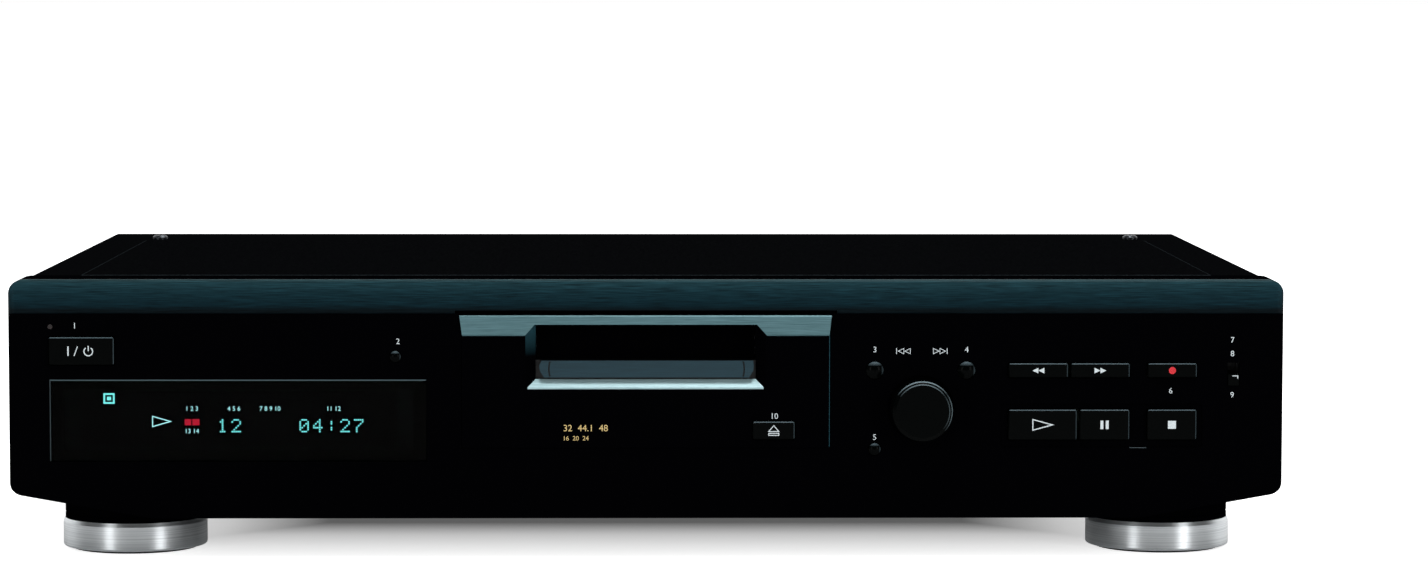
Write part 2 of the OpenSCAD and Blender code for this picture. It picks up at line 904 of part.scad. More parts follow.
// A round key with a domed face, turned about its own axis: cap, flange and stem
module round_key(at, r) {
  front = face_y - key_proud;
  flange_y = panel_in_y + key_rest;
  dome_r = 1.4 * r;
  color(key_black)
    translate([at[0], 0, at[1]])
      rotate([-90, 0, 0])
        rotate_extrude() {
          intersection() {
            translate([0, front + dome_r])
              circle(r = dome_r);
            translate([0, front])
              square([r, dome_r]);
          }
          if (front + dome_r < flange_y)
            translate([0, front + dome_r])
              square([r, flange_y - front - dome_r]);
          translate([0, flange_y])
            square([r + 1.2, key_flange_t]);
          translate([0, flange_y + key_flange_t])
            square([post_r, post_y - flange_y - key_flange_t]);
        }
}

module power_key() { bar_key(power_box); }
module eject_key() { bar_key(eject_box, plate_flange_y - panel_in_y); }
module rewind_key() { bar_key(rewind_box); }
module forward_key() { bar_key(forward_box); }
module record_key() { bar_key(record_box); }
module play_key() { bar_key(play_box); }
module pause_key() { bar_key(pause_box); }
module stop_key() { bar_key(stop_box); }
module scroll_key() { round_key(scroll_at, scroll_r); }
module menu_key() { round_key(menu_at, menu_r); }
module yes_key() { round_key(yes_at, menu_r); }
module clear_key() { round_key(clear_at, clear_r); }

key_places = [
  middle(power_box), middle(eject_box), middle(rewind_box), middle(forward_box),
  middle(record_box), middle(play_box), middle(pause_box), middle(stop_box), scroll_at, menu_at,
  yes_at, clear_at
];

// One push switch behind each key; the key's stem end reaches into its well
module tact_switches() {
  color("#26282a")
    for (p = key_places)
      difference() {
        block([p[0] - switch_w / 2, p[0] + switch_w / 2], [switch_y, board_y],
          [p[1] - switch_w / 2, p[1] + switch_w / 2]);
        bar_y(well_r, p[0], [switch_y - past, switch_y + well_depth], p[1]);
      }
}

// Knob turned about its own axis: finely chamfered front edge and a blind hole for the shaft
module dial_knob() {
  edge = 1.2;
  color(key_black)
    translate([dial_at[0], 0, dial_at[1]])
      rotate([-90, 0, 0])
        translate([0, 0, dial_front_y])
          difference() {
            union() {
              cylinder(r1 = dial_r - edge, r2 = dial_r, h = edge);
              translate([0, 0, edge])
                cylinder(r = dial_r, h = dial_back_y - dial_front_y - edge);
            }
            translate([0, 0, dial_seat])
              cylinder(r = dial_shaft_r, h = dial_proud + past);
          }
}

// Steel shaft in the knob, with a thinner tail in the encoder
module encoder_shaft() {
  color(steel) {
    bar_y(dial_shaft_r, dial_at[0], [dial_front_y + dial_seat, encoder_y + 1], dial_at[1]);
    bar_y(tail_r, dial_at[0], [encoder_y + 1, board_y - 2.4], dial_at[1]);
  }
}

// Sleeve in the encoder that the shaft turns in, and that moves when the dial is pushed
module encoder_plunger() {
  color(silver)
    difference() {
      bar_y(plunger_r, dial_at[0], [encoder_y + 1.3, board_y - 2.6], dial_at[1]);
      bar_y(tail_r + fit, dial_at[0], [encoder_y, board_y], dial_at[1]);
    }
}

// Encoder behind the dial: a square body with a round bearing in front
module encoder_body() {
  color(silver)
    difference() {
      union() {
        along_y(encoder_y, board_y)
          flat_box([dial_at[0], dial_at[0], dial_at[1], dial_at[1]], encoder_half_w);
        bar_y(dial_hole_r - 0.2, dial_at[0], [panel_in_y - 0.5, encoder_y], dial_at[1]);
      }
      bar_y(dial_shaft_r + fit, dial_at[0], [face_y, encoder_y + past], dial_at[1]);
      bar_y(plunger_r + fit, dial_at[0], [encoder_y + 0.5, board_y - 1.2], dial_at[1]);
    }
}

// Lever of the input selector: the grip, and the foot that slides in the switch
module input_lever() {
  x = [input_grip[0], input_grip[1]];
  z = [input_grip[2], input_grip[3]];
  color(key_black) {
    block(x, [face_y - 0.4, switch_y + 0.6], z);
    block([x[0] - 1, x[1] + 1], [switch_y + 0.6, switch_y + 1.8], [z[0] - 0.4, z[1] + 0.4]);
  }
}

// Slide switch behind the input slot
module input_switch() {
  x = [input_slot[0] - 2.6, input_slot[1] + 2.6];
  z = [input_slot[2] - 2.6, input_slot[3] + 2.6];
  color(silver)
    difference() {
      block(x, [switch_y - 0.6, board_y], z);
      block([input_grip[0] - 1.2, input_grip[1] + 1.2], [switch_y + 0.4, switch_y + 2],
        [input_grip[2] - 0.6, input_grip[3] + input_travel + 0.6]);
      along_y(switch_y - past, switch_y + past)
        flat_box(input_slot);
    }
}

// The two upright circuit boards behind the face
module front_boards() {
  color(board_green)
    difference() {
      along_y(board_y, board_y + front_board_t)
        for (b = [[-205, -66, 29, 84], [-66, -28, 29, 54], [64, 204, 29, 84], [32, 64, 29, 54]])
          flat_box(b);
      for (p = board_posts)
        bar_y(hole_r, p[0], [board_y - past, board_y + 2 * past + front_board_t], p[1]);
    }
}

// Steel base: floor with rising sides, flanges all round, bosses and air slots
module chassis_base() {
  low = base_line(base_half_w);
  inner = base_half_w - sheet_t;
  color(steel_black)
    difference() {
      union() {
        along_y(base_front_y, rear_d - sheet_t)
          polygon([
            [-base_half_w, flange_top], [-base_half_w, low], [-rise_start, base_z],
            [rise_start, base_z], [base_half_w, low], [base_half_w, flange_top],
            [inner, flange_top], [inner, base_line(inner) + sheet_t],
            [rise_start, base_z + sheet_t], [-rise_start, base_z + sheet_t],
            [-inner, base_line(inner) + sheet_t], [-inner, flange_top]
          ]);
        block([-rise_start, rise_start], [base_front_y, base_front_y + sheet_t],
          [base_z, front_flange_top]);
        block([-rise_start, rise_start], [rear_d - 2 * sheet_t, rear_d - sheet_t],
          [base_z, front_flange_top]);
        for (p = board_boss)
          bar_z(board_boss_r, p[0], p[1], [base_z, board_z]);
        for (s = [-1, 1], y = bracket_screw_y)
          bar_z(bracket_boss_r, slot_x + s * bracket_screw_x, y, [base_z, bracket_foot_z]);
      }
      for (p = board_boss)
        bar_z(hole_r, p[0], p[1], [base_z + sheet_t, board_z + past]);
      for (s = [-1, 1], y = bracket_screw_y)
        bar_z(hole_r, slot_x + s * bracket_screw_x, y, [base_z + sheet_t / 2, bracket_foot_z + past]);
      for (x = [-foot_x, foot_x], y = foot_y)
        bar_z(hole_r, x, y, [0, flange_top]);
      for (x = front_boss_x)
        bar_y(hole_r, x, [base_front_y - past, base_front_y + 2 * past], front_boss_z);
      for (x = rear_low_x)
        bar_y(hole_r, x, [rear_d - 4, rear_d], rear_low_z);
      for (y = side_screw_y)
        bar_x(hole_r, [-case_w, case_w], y, side_screw_z);
      for (x = transformer_ear_x)
        bar_z(hole_r, x, transformer_at[1], [base_z - past, base_z + 2 * past]);
      for (i = [0:vent_n - 1])
        along_z(0, base_z + 2 * past)
          long_hole([-60 + 10 * i, 20], [-60 + 10 * i, 62], vent_r);
    }
}

// Cross-section of the cover: flat top, rounded shoulders and straight sides, moved in by g
module cover_outline(g = 0) {
  w = cover_half_w - g;
  top = cover_top - g;
  r = cover_r - g;
  polygon([
    [-w + r, top], [w - r, top], [w - r, top - r], [w, top - r], [w, cover_low_z - g],
    [-w, cover_low_z - g], [-w, top - r], [-w + r, top - r]
  ]);
  for (s = [-1, 1])
    translate([s * (w - r), top - r])
      circle(r = r);
}

// Raised field of the cover, with slanting flanks
module cover_field(drop = 0) {
  w = field_half_w;
  low = cover_top - drop - past;
  top = cover_top + field_h - drop;
  run = field_flank * (field_h + past) / field_h;
  intersection() {
    along_y(field_front_y, field_rear_y)
      polygon([
        [-w + field_flank - run, low], [-w + field_flank, top], [w - field_flank, top],
        [w - field_flank + run, low]
      ]);
    along_x(-w - run, w + run)
      polygon([
        [field_front_y, low], [field_front_y, cover_top - drop],
        [field_front_y + field_flank, top], [field_rear_y - field_flank, top],
        [field_rear_y, cover_top - drop], [field_rear_y, low]
      ]);
  }
}

// Sheet-steel cover: top, sides and the strip folded down at the rear, with air slots
module top_cover() {
  rear_low = rear_high_z - 5;
  color(steel_black)
    difference() {
      union() {
        difference() {
          along_y(cover_front_y, cover_rear_y)
            cover_outline();
          along_y(cover_front_y - past, cover_rear_y - sheet_t)
            cover_outline(sheet_t);
          along_x(-case_w, case_w)
            polygon([
              [cover_rear_y - sheet_t, 0], [cover_rear_y + past, 0],
              [cover_rear_y + past, rear_low], [cover_rear_y - sheet_t, rear_low]
            ]);
        }
        cover_field();
      }
      cover_field(sheet_t);
      for (s = [-1, 1])
        bar_z(hole_r, s * top_screw[0], top_screw[1], [cover_top - 3 * past, cover_top + past]);
      for (y = side_screw_y)
        bar_x(hole_r, [-case_w, case_w], y, side_screw_z);
      for (x = rear_high_x)
        bar_y(hole_r, x, [cover_rear_y - 2 * past, cover_rear_y + past], rear_high_z);
      for (i = [0:vent_n - 1])
        along_x(-case_w, case_w)
          long_hole([20 + 7 * i, 56], [20 + 7 * i, 78], vent_r);
    }
}

// Rear panel: openings for the sockets and the gland, air slots, and a shelf under the cover
module rear_panel() {
  w = base_half_w - 1.5;
  y0 = rear_d - sheet_t;
  lift = 1.3;
  color(steel_black)
    difference() {
      union() {
        along_y(y0, rear_d)
          polygon([
            [-w, rear_top], [w, rear_top], [w, base_line(w) + lift], [rise_start, base_z + lift],
            [-rise_start, base_z + lift], [-w, base_line(w) + lift]
          ]);
        block([-w, w], [y0 - rear_shelf_d, y0], [rear_top - sheet_t, rear_top]);
        for (s = [-1, 1])
          translate([s * top_screw[0], 0, 0])
            block([-rear_ear_half_w, rear_ear_half_w], [top_screw[1] - 8, y0 - rear_shelf_d],
              [rear_top - sheet_t, rear_top]);
      }
      for (s = [-1, 1])
        bar_z(hole_r, s * top_screw[0], top_screw[1], [rear_top - 3 * past, rear_top + past]);
      for (x = rear_high_x)
        bar_y(hole_r, x, [y0 - past, rear_d + past], rear_high_z);
      for (x = rear_low_x)
        bar_y(hole_r, x, [y0 - past, rear_d + past], rear_low_z);
      for (x = jack_x, z = jack_z)
        bar_y(jack_collar_r + 2 * fit, x, [y0 - past, rear_d + past], z);
      for (x = optical_x)
        along_y(y0 - past, rear_d + past)
          optical_outline(x, seam);
      bar_y(gland_neck_r + fit, gland_at[0], [y0 - past, rear_d + past], gland_at[1]);
      for (i = [0:vent_n - 1])
        along_y(y0 - past, rear_d + past)
          long_hole([-120 + 7 * i, 40], [-120 + 7 * i, 70], vent_r);
    }
}

// All the screws of the deck, each on its seat
module case_screws() {
  color(silver) {
    for (s = [-1, 1])
      translate([s * top_screw[0], top_screw[1], cover_top])
        screw();
    for (s = [-1, 1], y = side_screw_y)
      translate([s * cover_half_w, y, side_screw_z])
        rotate([0, s * 90, 0])
          screw();
    for (x = rear_high_x)
      translate([x, cover_rear_y, rear_high_z])
        rotate([-90, 0, 0])
          screw();
    for (x = rear_low_x)
      translate([x, rear_d, rear_low_z])
        rotate([-90, 0, 0])
          screw();
    for (x = front_boss_x)
      translate([x, base_front_y + sheet_t, front_boss_z])
        rotate([-90, 0, 0])
          screw();
    for (x = [-foot_x, foot_x], y = foot_y)
      translate([x, y, foot_seat_z])
        rotate([180, 0, 0])
          screw();
    for (p = board_boss)
      translate([p[0], p[1], board_top])
        screw();
    for (p = board_posts)
      translate([p[0], board_y + front_board_t, p[1]])
        rotate([-90, 0, 0])
          screw();
    for (x = transformer_ear_x)
      translate([x, transformer_at[1], base_z])
        rotate([180, 0, 0])
          screw();
    for (s = [-1, 1], y = bracket_screw_y)
      translate([slot_x + s * bracket_screw_x, y, bracket_foot_z + bracket_sheet_t])
        screw();
  }
}

// The same piece at all four feet
module at_feet() {
  for (x = [-foot_x, foot_x], y = foot_y)
    translate([x, y, 0])
      children();
}

// Turned silver ring: rounded lower edge, plain wall and a bevel on top
module foot_rings() {
  low = 0.9;
  round_r = 0.8;
  bevel_h = 1.3;
  bevel_w = 0.6;
  color(silver)
    at_feet()
      rotate_extrude() {
        polygon([
          [foot_ring_in, low], [foot_r - round_r, low], [foot_r - round_r, low + round_r],
          [foot_r, low + round_r], [foot_r, foot_ring_top - bevel_h],
          [foot_r - bevel_w, foot_ring_top], [foot_ring_in, foot_ring_top]
        ]);
        translate([foot_r - round_r, low + round_r])
          circle(r = round_r);
      }
}

// Black core: it fills the ring, steps out over it as a neck and meets the sloping underside
module foot_cores() {
  core_r = foot_ring_in - fit;
  rim_r = foot_ring_in - 0.5;
  rim_z = 1;
  neck_r = foot_r - 0.7;
  groove_z = foot_ring_top + 1.6;
  groove_d = 0.6;
  groove_h = 0.7;
  color(black_plastic)
    difference() {
      at_feet()
        difference() {
          rotate_extrude()
            polygon([
              [0, foot_pad_t], [rim_r, foot_pad_t], [rim_r, rim_z], [core_r, rim_z],
              [core_r, foot_ring_top], [neck_r, foot_ring_top], [neck_r, groove_z],
              [neck_r - groove_d, groove_z], [neck_r - groove_d, groove_z + groove_h],
              [neck_r, groove_z + groove_h], [neck_r, side_low_z], [0, side_low_z]
            ]);
          bar_z(foot_well_r, 0, 0, [0, foot_seat_z]);
          bar_z(hole_r, 0, 0, [0, side_low_z + past]);
        }
      along_y(-rear_d, rear_d)
        polygon([
          [-half_w, case_h], [-half_w, base_line(half_w)], [-rise_start, base_z],
          [rise_start, base_z], [half_w, base_line(half_w)], [half_w, case_h]
        ]);
    }
}

// Rubber pad under each foot, with a hole for the screw well
module foot_pads() {
  color(rubber)
    at_feet()
      difference() {
        bar_z(foot_ring_in - 0.6, 0, 0, [0, foot_pad_t]);
        bar_z(foot_well_r + 1, 0, 0, [-past, foot_pad_t + past]);
      }
}

// Main circuit board on its five bosses
module main_board() {
  color(board_green)
    difference() {
      block(main_x, main_y, [board_z, board_top]);
      for (p = board_boss)
        bar_z(hole_r, p[0], p[1], [board_z - past, board_top + past]);
    }
}

// A chip with a row of legs on two sides
module chip(x, y, w, d, n) {
  lift = 0.4;
  leg = [0.4, 1, 0.9];
  translate([x, y, board_top]) {
    translate([-w / 2, -d / 2, lift])
      cube([w, d, 2]);
    for (i = [0:n - 1], s = [-1, 1])
      translate([-w / 2 + (i + 0.5) * w / n - leg[0] / 2, (s * (d + leg[1]) - leg[1]) / 2, 0])
        cube(leg);
  }
}

// Everything soldered on the main board: chips, capacitors, coils and cable sockets
module board_parts() {
  // Large capacitors: [x, y, radius, height]
  cans = [[-66, 30, 8, 24], [-66, 52, 8, 24], [-46, 30, 6, 18], [-46, 48, 6, 18], [-28, 30, 5, 14]];
  color("#2b2d31") {
    chip(20, 60, 20, 14, 14);
    chip(60, 70, 16, 16, 10);
    chip(100, 60, 14, 10, 8);
    chip(150, 80, 12, 8, 7);
    chip(30, 95, 18, 8, 10);
    for (c = cans)
      bar_z(c[2], c[0], c[1], [board_top, board_top + c[3]]);
    for (i = [0:7])
      bar_z(2.5, 110 + 10 * i, 30, [board_top, board_top + 9]);
    for (i = [0:5])
      bar_z(3, 125 + 9 * i, 45, [board_top, board_top + 11]);
    for (x = ribbon_x)
      block([x - ribbon_socket_half_w, x + ribbon_socket_half_w], ribbon_socket_y,
        [board_top, board_top + ribbon_socket_h]);
  }
}

// Finned aluminium block that cools the regulators
module heat_sink() {
  fin_n = 9;
  fin_t = 1.2;
  w = 44;
  h = 34;
  plate_t = 2.5;
  color(silver)
    translate([-70, 80, board_top]) {
      cube([w, plate_t, h]);
      for (i = [0:fin_n - 1])
        translate([i * (w - fin_t) / (fin_n - 1), plate_t, 0])
          cube([fin_t, 12, h]);
    }
}

// Laminated core: a stack with two windows, on a pair of mounting ears
module transformer_core() {
  color("#8f9396")
    translate([transformer_at[0], transformer_at[1], base_z + sheet_t])
      difference() {
        union() {
          block([-core_w / 2, core_w / 2], [-core_d / 2, core_d / 2], [ear_t, core_h]);
          block([-core_w / 2 - ear_reach, core_w / 2 + ear_reach], [-core_d / 2, core_d / 2],
            [0, ear_t]);
        }
        for (s = [-1, 1])
          translate([s * core_w / 4, 0, 0])
            block([-core_w / 12, core_w / 12], [-core_d, core_d], [core_h / 6, core_h * 5 / 6]);
        for (s = [-1, 1])
          bar_z(hole_r, s * ear_hole, 0, [-past, ear_t + past]);
      }
}

// Bobbin with its taped windings, round the middle limb of the core
module transformer_coil() {
  gap = 0.1;
  wide = core_w / 3 - gap;
  color("#c9b458")
    translate([transformer_at[0], transformer_at[1], base_z + sheet_t])
      difference() {
        along_z(core_h / 6 + gap, core_h * 5 / 6 - gap)
          flat_box([-wide, wide, -coil_d / 2, coil_d / 2], 0, 5);
        block([-core_w / 6 - fit, core_w / 6 + fit], [-core_d / 2 - fit, core_d / 2 + fit],
          [0, core_h]);
      }
}

// Points of an arc of radius r about c, from angle a0 to a1
function turn(c, r, a0, a1, n = 6) = [
  for (i = [0:n])
    c + r * [cos(a0 + (a1 - a0) * i / n), sin(a0 + (a1 - a0) * i / n)]
];

// A strip of even thickness that follows a line of points
module strip(line, t) {
  n = len(line);
  side = [for (i = [0:n - 1])
    let (d = line[min(i + 1, n - 1)] - line[max(i - 1, 0)])
      t / 2 * [-d[1], d[0]] / norm(d)];
  polygon(concat(
    [for (i = [0:n - 1]) line[i] + side[i]],
    [for (i = [n - 1:-1:0]) line[i] - side[i]]
  ));
}

// Flat cables: two run from the front boards and one from the drive, to their sockets
module ribbon_cables() {
  sock = board_top + ribbon_socket_h;
  sock_y = (ribbon_socket_y[0] + ribbon_socket_y[1]) / 2;
  back = board_y + front_board_t;
  run_z = 18.5;
  front_line = concat(
    [[back, 33]], turn([back + 5, 28], 5, 90, 0),
    turn([back + 13, run_z + 3], 3, 180, 270),
    turn([-4, run_z + 4], 4, 270, 360),
    turn([5.25, sock + 2], 5.25, 180, 0),
    [[sock_y, sock]]
  );
  drive_line = concat(
    [[drive_y[1] + 0.1, 55.4]], turn([2.5, 47.4], 8, 90, 0),
    [[sock_y, sock]]
  );
  color("#d9d2bf") {
    for (i = [0, 1])
      translate([ribbon_x[i], 0, 0])
        along_x(-ribbon_half_w, ribbon_half_w)
          strip(front_line, ribbon_t);
    translate([ribbon_x[2], 0, 0])
      along_x(-ribbon_half_w, ribbon_half_w)
        strip(drive_line, ribbon_t);
  }
}

// Four black socket mouldings, each with its white core, behind the rear panel
module jack_block() {
  y0 = rear_d - sheet_t;
  mid_x = (jack_x[0] + jack_x[1]) / 2;
  mid_z = (jack_z[0] + jack_z[1]) / 2;
  x_span = [
    [jack_x[0] - jack_rim, mid_x - fit],
    [mid_x + fit, jack_x[1] + jack_rim]
  ];
  z_span = [
    [board_top, mid_z - fit],
    [mid_z + fit, jack_z[1] + jack_rim]
  ];
  for (i = [0, 1], k = [0, 1]) {
    color("#1a1a1c")
      difference() {
        union() {
          block(x_span[i], [y0 - jack_block_d, y0], z_span[k]);
          bar_y(jack_collar_r, jack_x[i], [y0, jack_collar_y], jack_z[k]);
        }
        bar_y(jack_r - jack_step + fit, jack_x[i], [jack_seat_y, jack_collar_y + past],
          jack_z[k]);
        block([0, case_w], [y0 - sheet_t - seam, y0 + past], [0, front_flange_top + seam]);
      }
    color("#d8d8d2")
      difference() {
        bar_y(jack_core_r, jack_x[i], [jack_seat_y + fit, rear_d + jack_bare - jack_core_in],
          jack_z[k]);
        bar_y(jack_pin_r, jack_x[i], [jack_pin_y, rear_d + jack_bare + past], jack_z[k]);
      }
  }
}

// Turned metal shells of the four sockets
module jack_shells() {
  color(silver)
    for (x = jack_x, z = jack_z)
      difference() {
        union() {
          bar_y(jack_r - jack_step, x, [jack_seat_y, jack_collar_y], z);
          bar_y(jack_r, x, [jack_collar_y, rear_d + jack_bare], z);
        }
        bar_y(jack_core_r + fit, x, [jack_seat_y - past, rear_d + jack_bare + past], z);
      }
}

// Outside of an optical socket, moved out by g
module optical_outline(x, g = 0) {
  flat_box([
    x - optical_half[0], x + optical_half[0], optical_z - optical_half[1], optical_z + optical_half[1]
  ], g);
}

// Two optical sockets: an opening with two cut corners, and the bore of the lens
module optical_sockets() {
  w = optical_open[0] / 2;
  h = optical_open[1] / 2;
  cut = 2;
  color("#1a1a1c")
    for (x = optical_x)
      difference() {
        union() {
          along_y(rear_d - 16, rear_d + optical_proud)
            optical_outline(x);
          block([x - 4, x + 4], [rear_d - 14, rear_d - 4], [board_top, optical_z - optical_half[1]]);
        }
        along_y(rear_d - optical_depth, rear_d + past + optical_proud)
          polygon([
            [x - w, optical_z - h], [x + w, optical_z - h], [x + w, optical_z + h - cut],
            [x + w - cut, optical_z + h], [x - w + cut, optical_z + h], [x - w, optical_z + h - cut]
          ]);
        bar_y(optical_lens_r, x, [rear_d - 13, rear_d], optical_z);
      }
}

// Bush that guides the mains lead through the rear panel
module cord_gland() {
  y0 = rear_d - sheet_t;
  color(rubber)
    translate([gland_at[0], 0, gland_at[1]])
      rotate([-90, 0, 0])
        rotate_extrude()
          polygon([
            [gland_bore_r, y0 - 3], [gland_in_r, y0 - 3], [gland_in_r, y0], [gland_neck_r, y0],
            [gland_neck_r, rear_d], [gland_out_r, rear_d], [gland_in_r, rear_d + 3],
            [6, rear_d + 6], [gland_bore_r, rear_d + 6]
          ]);
}

// Steel bracket on four screws, with a window for the feed and a hole for the loading motor
module drive_bracket() {
  t = bracket_sheet_t;
  w = bracket_half_w;
  y = [drive_y[0] + 3, drive_y[1] - 2];
  color(steel)
    difference() {
      union() {
        translate([slot_x, 0, 0])
          block([-w, w], y, bracket_z);
        both_sides() {
          block([w - t, w], y, [bracket_foot_z, bracket_z[1]]);
          block([w, w + bracket_foot_w], y, [bracket_foot_z, bracket_foot_z + t]);
        }
      }
      both_sides()
        along_x(0, w + past)
          flat_box([y[0] + 22, y[1] - 22, bracket_foot_z + 6, bracket_z[0] - 5], 0, 3);
      translate([slot_x, 0, 0]) {
        along_z(bracket_z[0] - past, bracket_z[1] + past)
          flat_box([-30, 38, y[0] + 12, -34], 0, 4);
        bar_z(loading_motor_r + 1, pinion_x, gear_y, [bracket_z[0] - past, bracket_z[1] + past]);
      }
      for (s = [-1, 1], hole_y = bracket_screw_y)
        bar_z(hole_r, slot_x + s * bracket_screw_x, hole_y,
          [bracket_foot_z - past, bracket_foot_z + t + past]);
    }
}

// Rubber mounts between the bracket and the drive
module drive_dampers() {
  color(rubber)
    both_sides()
      for (p = damper_at)
        translate([p[0], p[1], bracket_z[1]])
          rotate_extrude()
            polygon([[0, 0], [4.5, 0], [4.5, 1], [3.4, 1.6], [3.4, 2.4], [4.5, 3], [4.5, 4], [0, 4]]);
}

// Sheet-steel base of the drive: floor, side walls with upright slots, and the rod holders
module drive_base() {
  x_in = wall_x[0];
  through = [drive_floor[0] - past, drive_floor[1] + past];
  sled_way = [sled_x[0] - 2, sled_x[1] + sled_travel + 0.5];
  motor_half_d = screw_motor_r + 0.6;
  color(steel)
    difference() {
      union() {
        translate([slot_x, 0, 0])
          block([-wall_x[1], wall_x[1]], drive_y, drive_floor);
        both_sides() {
          block(wall_x, [drive_y[0], slider_y[1]], [drive_floor[1], wall_top_z]);
          for (y = [slider_y[0] + 3, slider_y[1] - 5])
            block([slider_x[0] - 1.2, x_in], [y, y + 5], [slider_z[0] - 1.3, slider_z[0] - 0.1]);
        }
        translate([slot_x, 0, 0]) {
          for (y = rod_y, x = [[-1, 3], support_x])
            block(x, [y - support_half_d, y + support_half_d], [drive_floor[1], support_z]);
          block([-4, -1], [screw_y - motor_half_d, screw_y + motor_half_d],
            [drive_floor[1], rod_z + screw_motor_r]);
          block(support_x, [screw_y - support_half_d, screw_y + support_half_d],
            [drive_floor[1], support_z]);
          bar_z(gear_axle_r, gear_x, gear_y, [drive_floor[1], 68]);
        }
      }
      both_sides()
        for (y = cam_pin_y)
          along_x(wall_x[0] - past, wall_x[1] + past)
            long_hole([y, cam_pin_z], [y, cam_pin_z - holder_drop], cam_pin_r + cam_gap);
      translate([slot_x, 0, 0]) {
        block(sled_way, [sled_y[0] - 1, rod_y[0] - 3], through);
        block(sled_way, [rod_y[0] + 3, rod_y[1] - 3], through);
        block([-25, -4], [screw_y - motor_half_d, screw_y + motor_half_d], through);
        bar_z(2.5, 0, spindle_y, through);
        bar_z(2.5, pinion_x, gear_y, through);
        for (y = rod_y)
          bar_x(rod_r + 0.01, [-2, x_in], y, rod_z);
        bar_x(rod_r + fit, [-5, x_in - 0.6], screw_y, rod_z);
      }
    }
}

// Two ground rods that the sled slides on
module guide_rods() {
  color(steel)
    translate([slot_x, 0, 0])
      for (y = rod_y)
        bar_x(rod_r, [-0.9, wall_x[0] - 0.1], y, rod_z);
}

// Tray that carries the cartridge: open in front, with rails underneath and guide pins outside
module disc_holder() {
  w = holder_half_w;
  y = [holder_front_y, holder_rear_y];
  top = holder_top_z + holder_t;
  color(silver)
    translate([slot_x, 0, 0])
      difference() {
        union() {
          block([-w, w], y, [holder_top_z, top]);
          for (s = [-1, 1])
            mirror([s > 0 ? 0 : 1, 0, 0]) {
              block([w, w + holder_t], y, [holder_in_z - holder_t, top]);
              block([w - rail_w, w], y, [holder_in_z - holder_t, holder_in_z]);
              for (p = cam_pin_y)
                bar_x(cam_pin_r, [w + holder_t, wall_x[1] - 0.3], p, cam_pin_z);
            }
          block([-w, w], [y[1] - holder_t, y[1]], [holder_in_z, holder_top_z]);
        }
        block([6, w], [spindle_y - 8, y[1] - holder_t], [holder_top_z - past, top + past]);
        block([-22, -4], [spindle_y - 14, spindle_y + 14], [holder_top_z - past, top + past]);
      }
}

// A gear outline: n teeth of module m with straight-sided flanks, thinned for running clearance
module gear_outline(m, n) {
  pitch = m * n / 2;
  root = pitch - tooth_root * m;
  tip = pitch + tooth_tip * m;
  half = 90 / n * tooth_share;
  flare = atan(tooth_slope * m / pitch);
  circle(r = root);
  for (i = [0:n - 1])
    rotate(i * 360 / n)
      polygon([
        (root - 0.2) * [cos(half + 1.4 * flare), -sin(half + 1.4 * flare)],
        tip * [cos(half - flare), -sin(half - flare)],
        tip * [cos(half - flare), sin(half - flare)],
        (root - 0.2) * [cos(half + 1.4 * flare), sin(half + 1.4 * flare)]
      ]);
}

// Plate on each side with the slanting cam slots, tied by a bridge, and the toothed rack
module loading_slider() {
  pitch = PI * gear_m;
  teeth = 9;
  tooth_half = pitch / 4 * tooth_share;
  root = rack_x - tooth_root * gear_m;
  tip = rack_x + tooth_tip * gear_m;
  narrow = tooth_half - tooth_slope * tooth_tip * gear_m;
  wide = tooth_half + tooth_slope * (tooth_root + 0.2) * gear_m;
  color("#d8d4c8")
    translate([slot_x, 0, 0]) {
      difference() {
        for (s = [0, 1])
          mirror([s, 0, 0])
            block(slider_x, slider_y, slider_z);
        for (s = [0, 1], y = cam_pin_y)
          mirror([s, 0, 0])
            along_x(slider_x[0] - past, slider_x[1] + past)
              long_hole([y, cam_pin_z], [y - slider_travel, cam_pin_z - holder_drop],
                cam_pin_r + cam_gap);
      }
      block([-slider_x[0], slider_x[0]], [slider_y[1] - 4, slider_y[1]],
        [slider_z[1] - 3.8, slider_z[1]]);
      block([-slider_x[1], root], [gear_y - slider_travel - 7, gear_y + 7], gear_z);
      along_z(gear_z[0], gear_z[1])
        for (i = [0:teeth - 1])
          translate([0, gear_y + (1.5 - i) * pitch])
            polygon([
              [root - 0.2, -wide], [tip, -narrow], [tip, narrow], [root - 0.2, wide]
            ]);
    }
}

// Double gear: a large wheel below that the motor drives, a small one above for the rack
module loading_gear() {
  color("#e8e4d8")
    translate([slot_x + gear_x, gear_y, 0])
      difference() {
        union() {
          along_z(gear_z[0] - 0.2, gear_z[1] + 0.2)
            gear_outline(gear_m, gear_n);
          along_z(wheel_z[0], wheel_z[1])
            gear_outline(wheel_m, wheel_n);
          bar_z(4, 0, 0, [drive_floor[1] + 0.3, gear_z[0]]);
        }
        bar_z(gear_axle_r + fit, 0, 0, [drive_floor[1], 70]);
      }
}

// Brass pinion on the loading motor's shaft
module loading_pinion() {
  color("#c8a24a")
    translate([slot_x + pinion_x, gear_y, 0]) {
      along_z(wheel_z[0] - 0.3, wheel_z[1] + 0.3)
        rotate(180 / pinion_n)
          gear_outline(wheel_m, pinion_n);
      bar_z(motor_shaft_r, 0, 0, [46, wheel_z[0]]);
    }
}

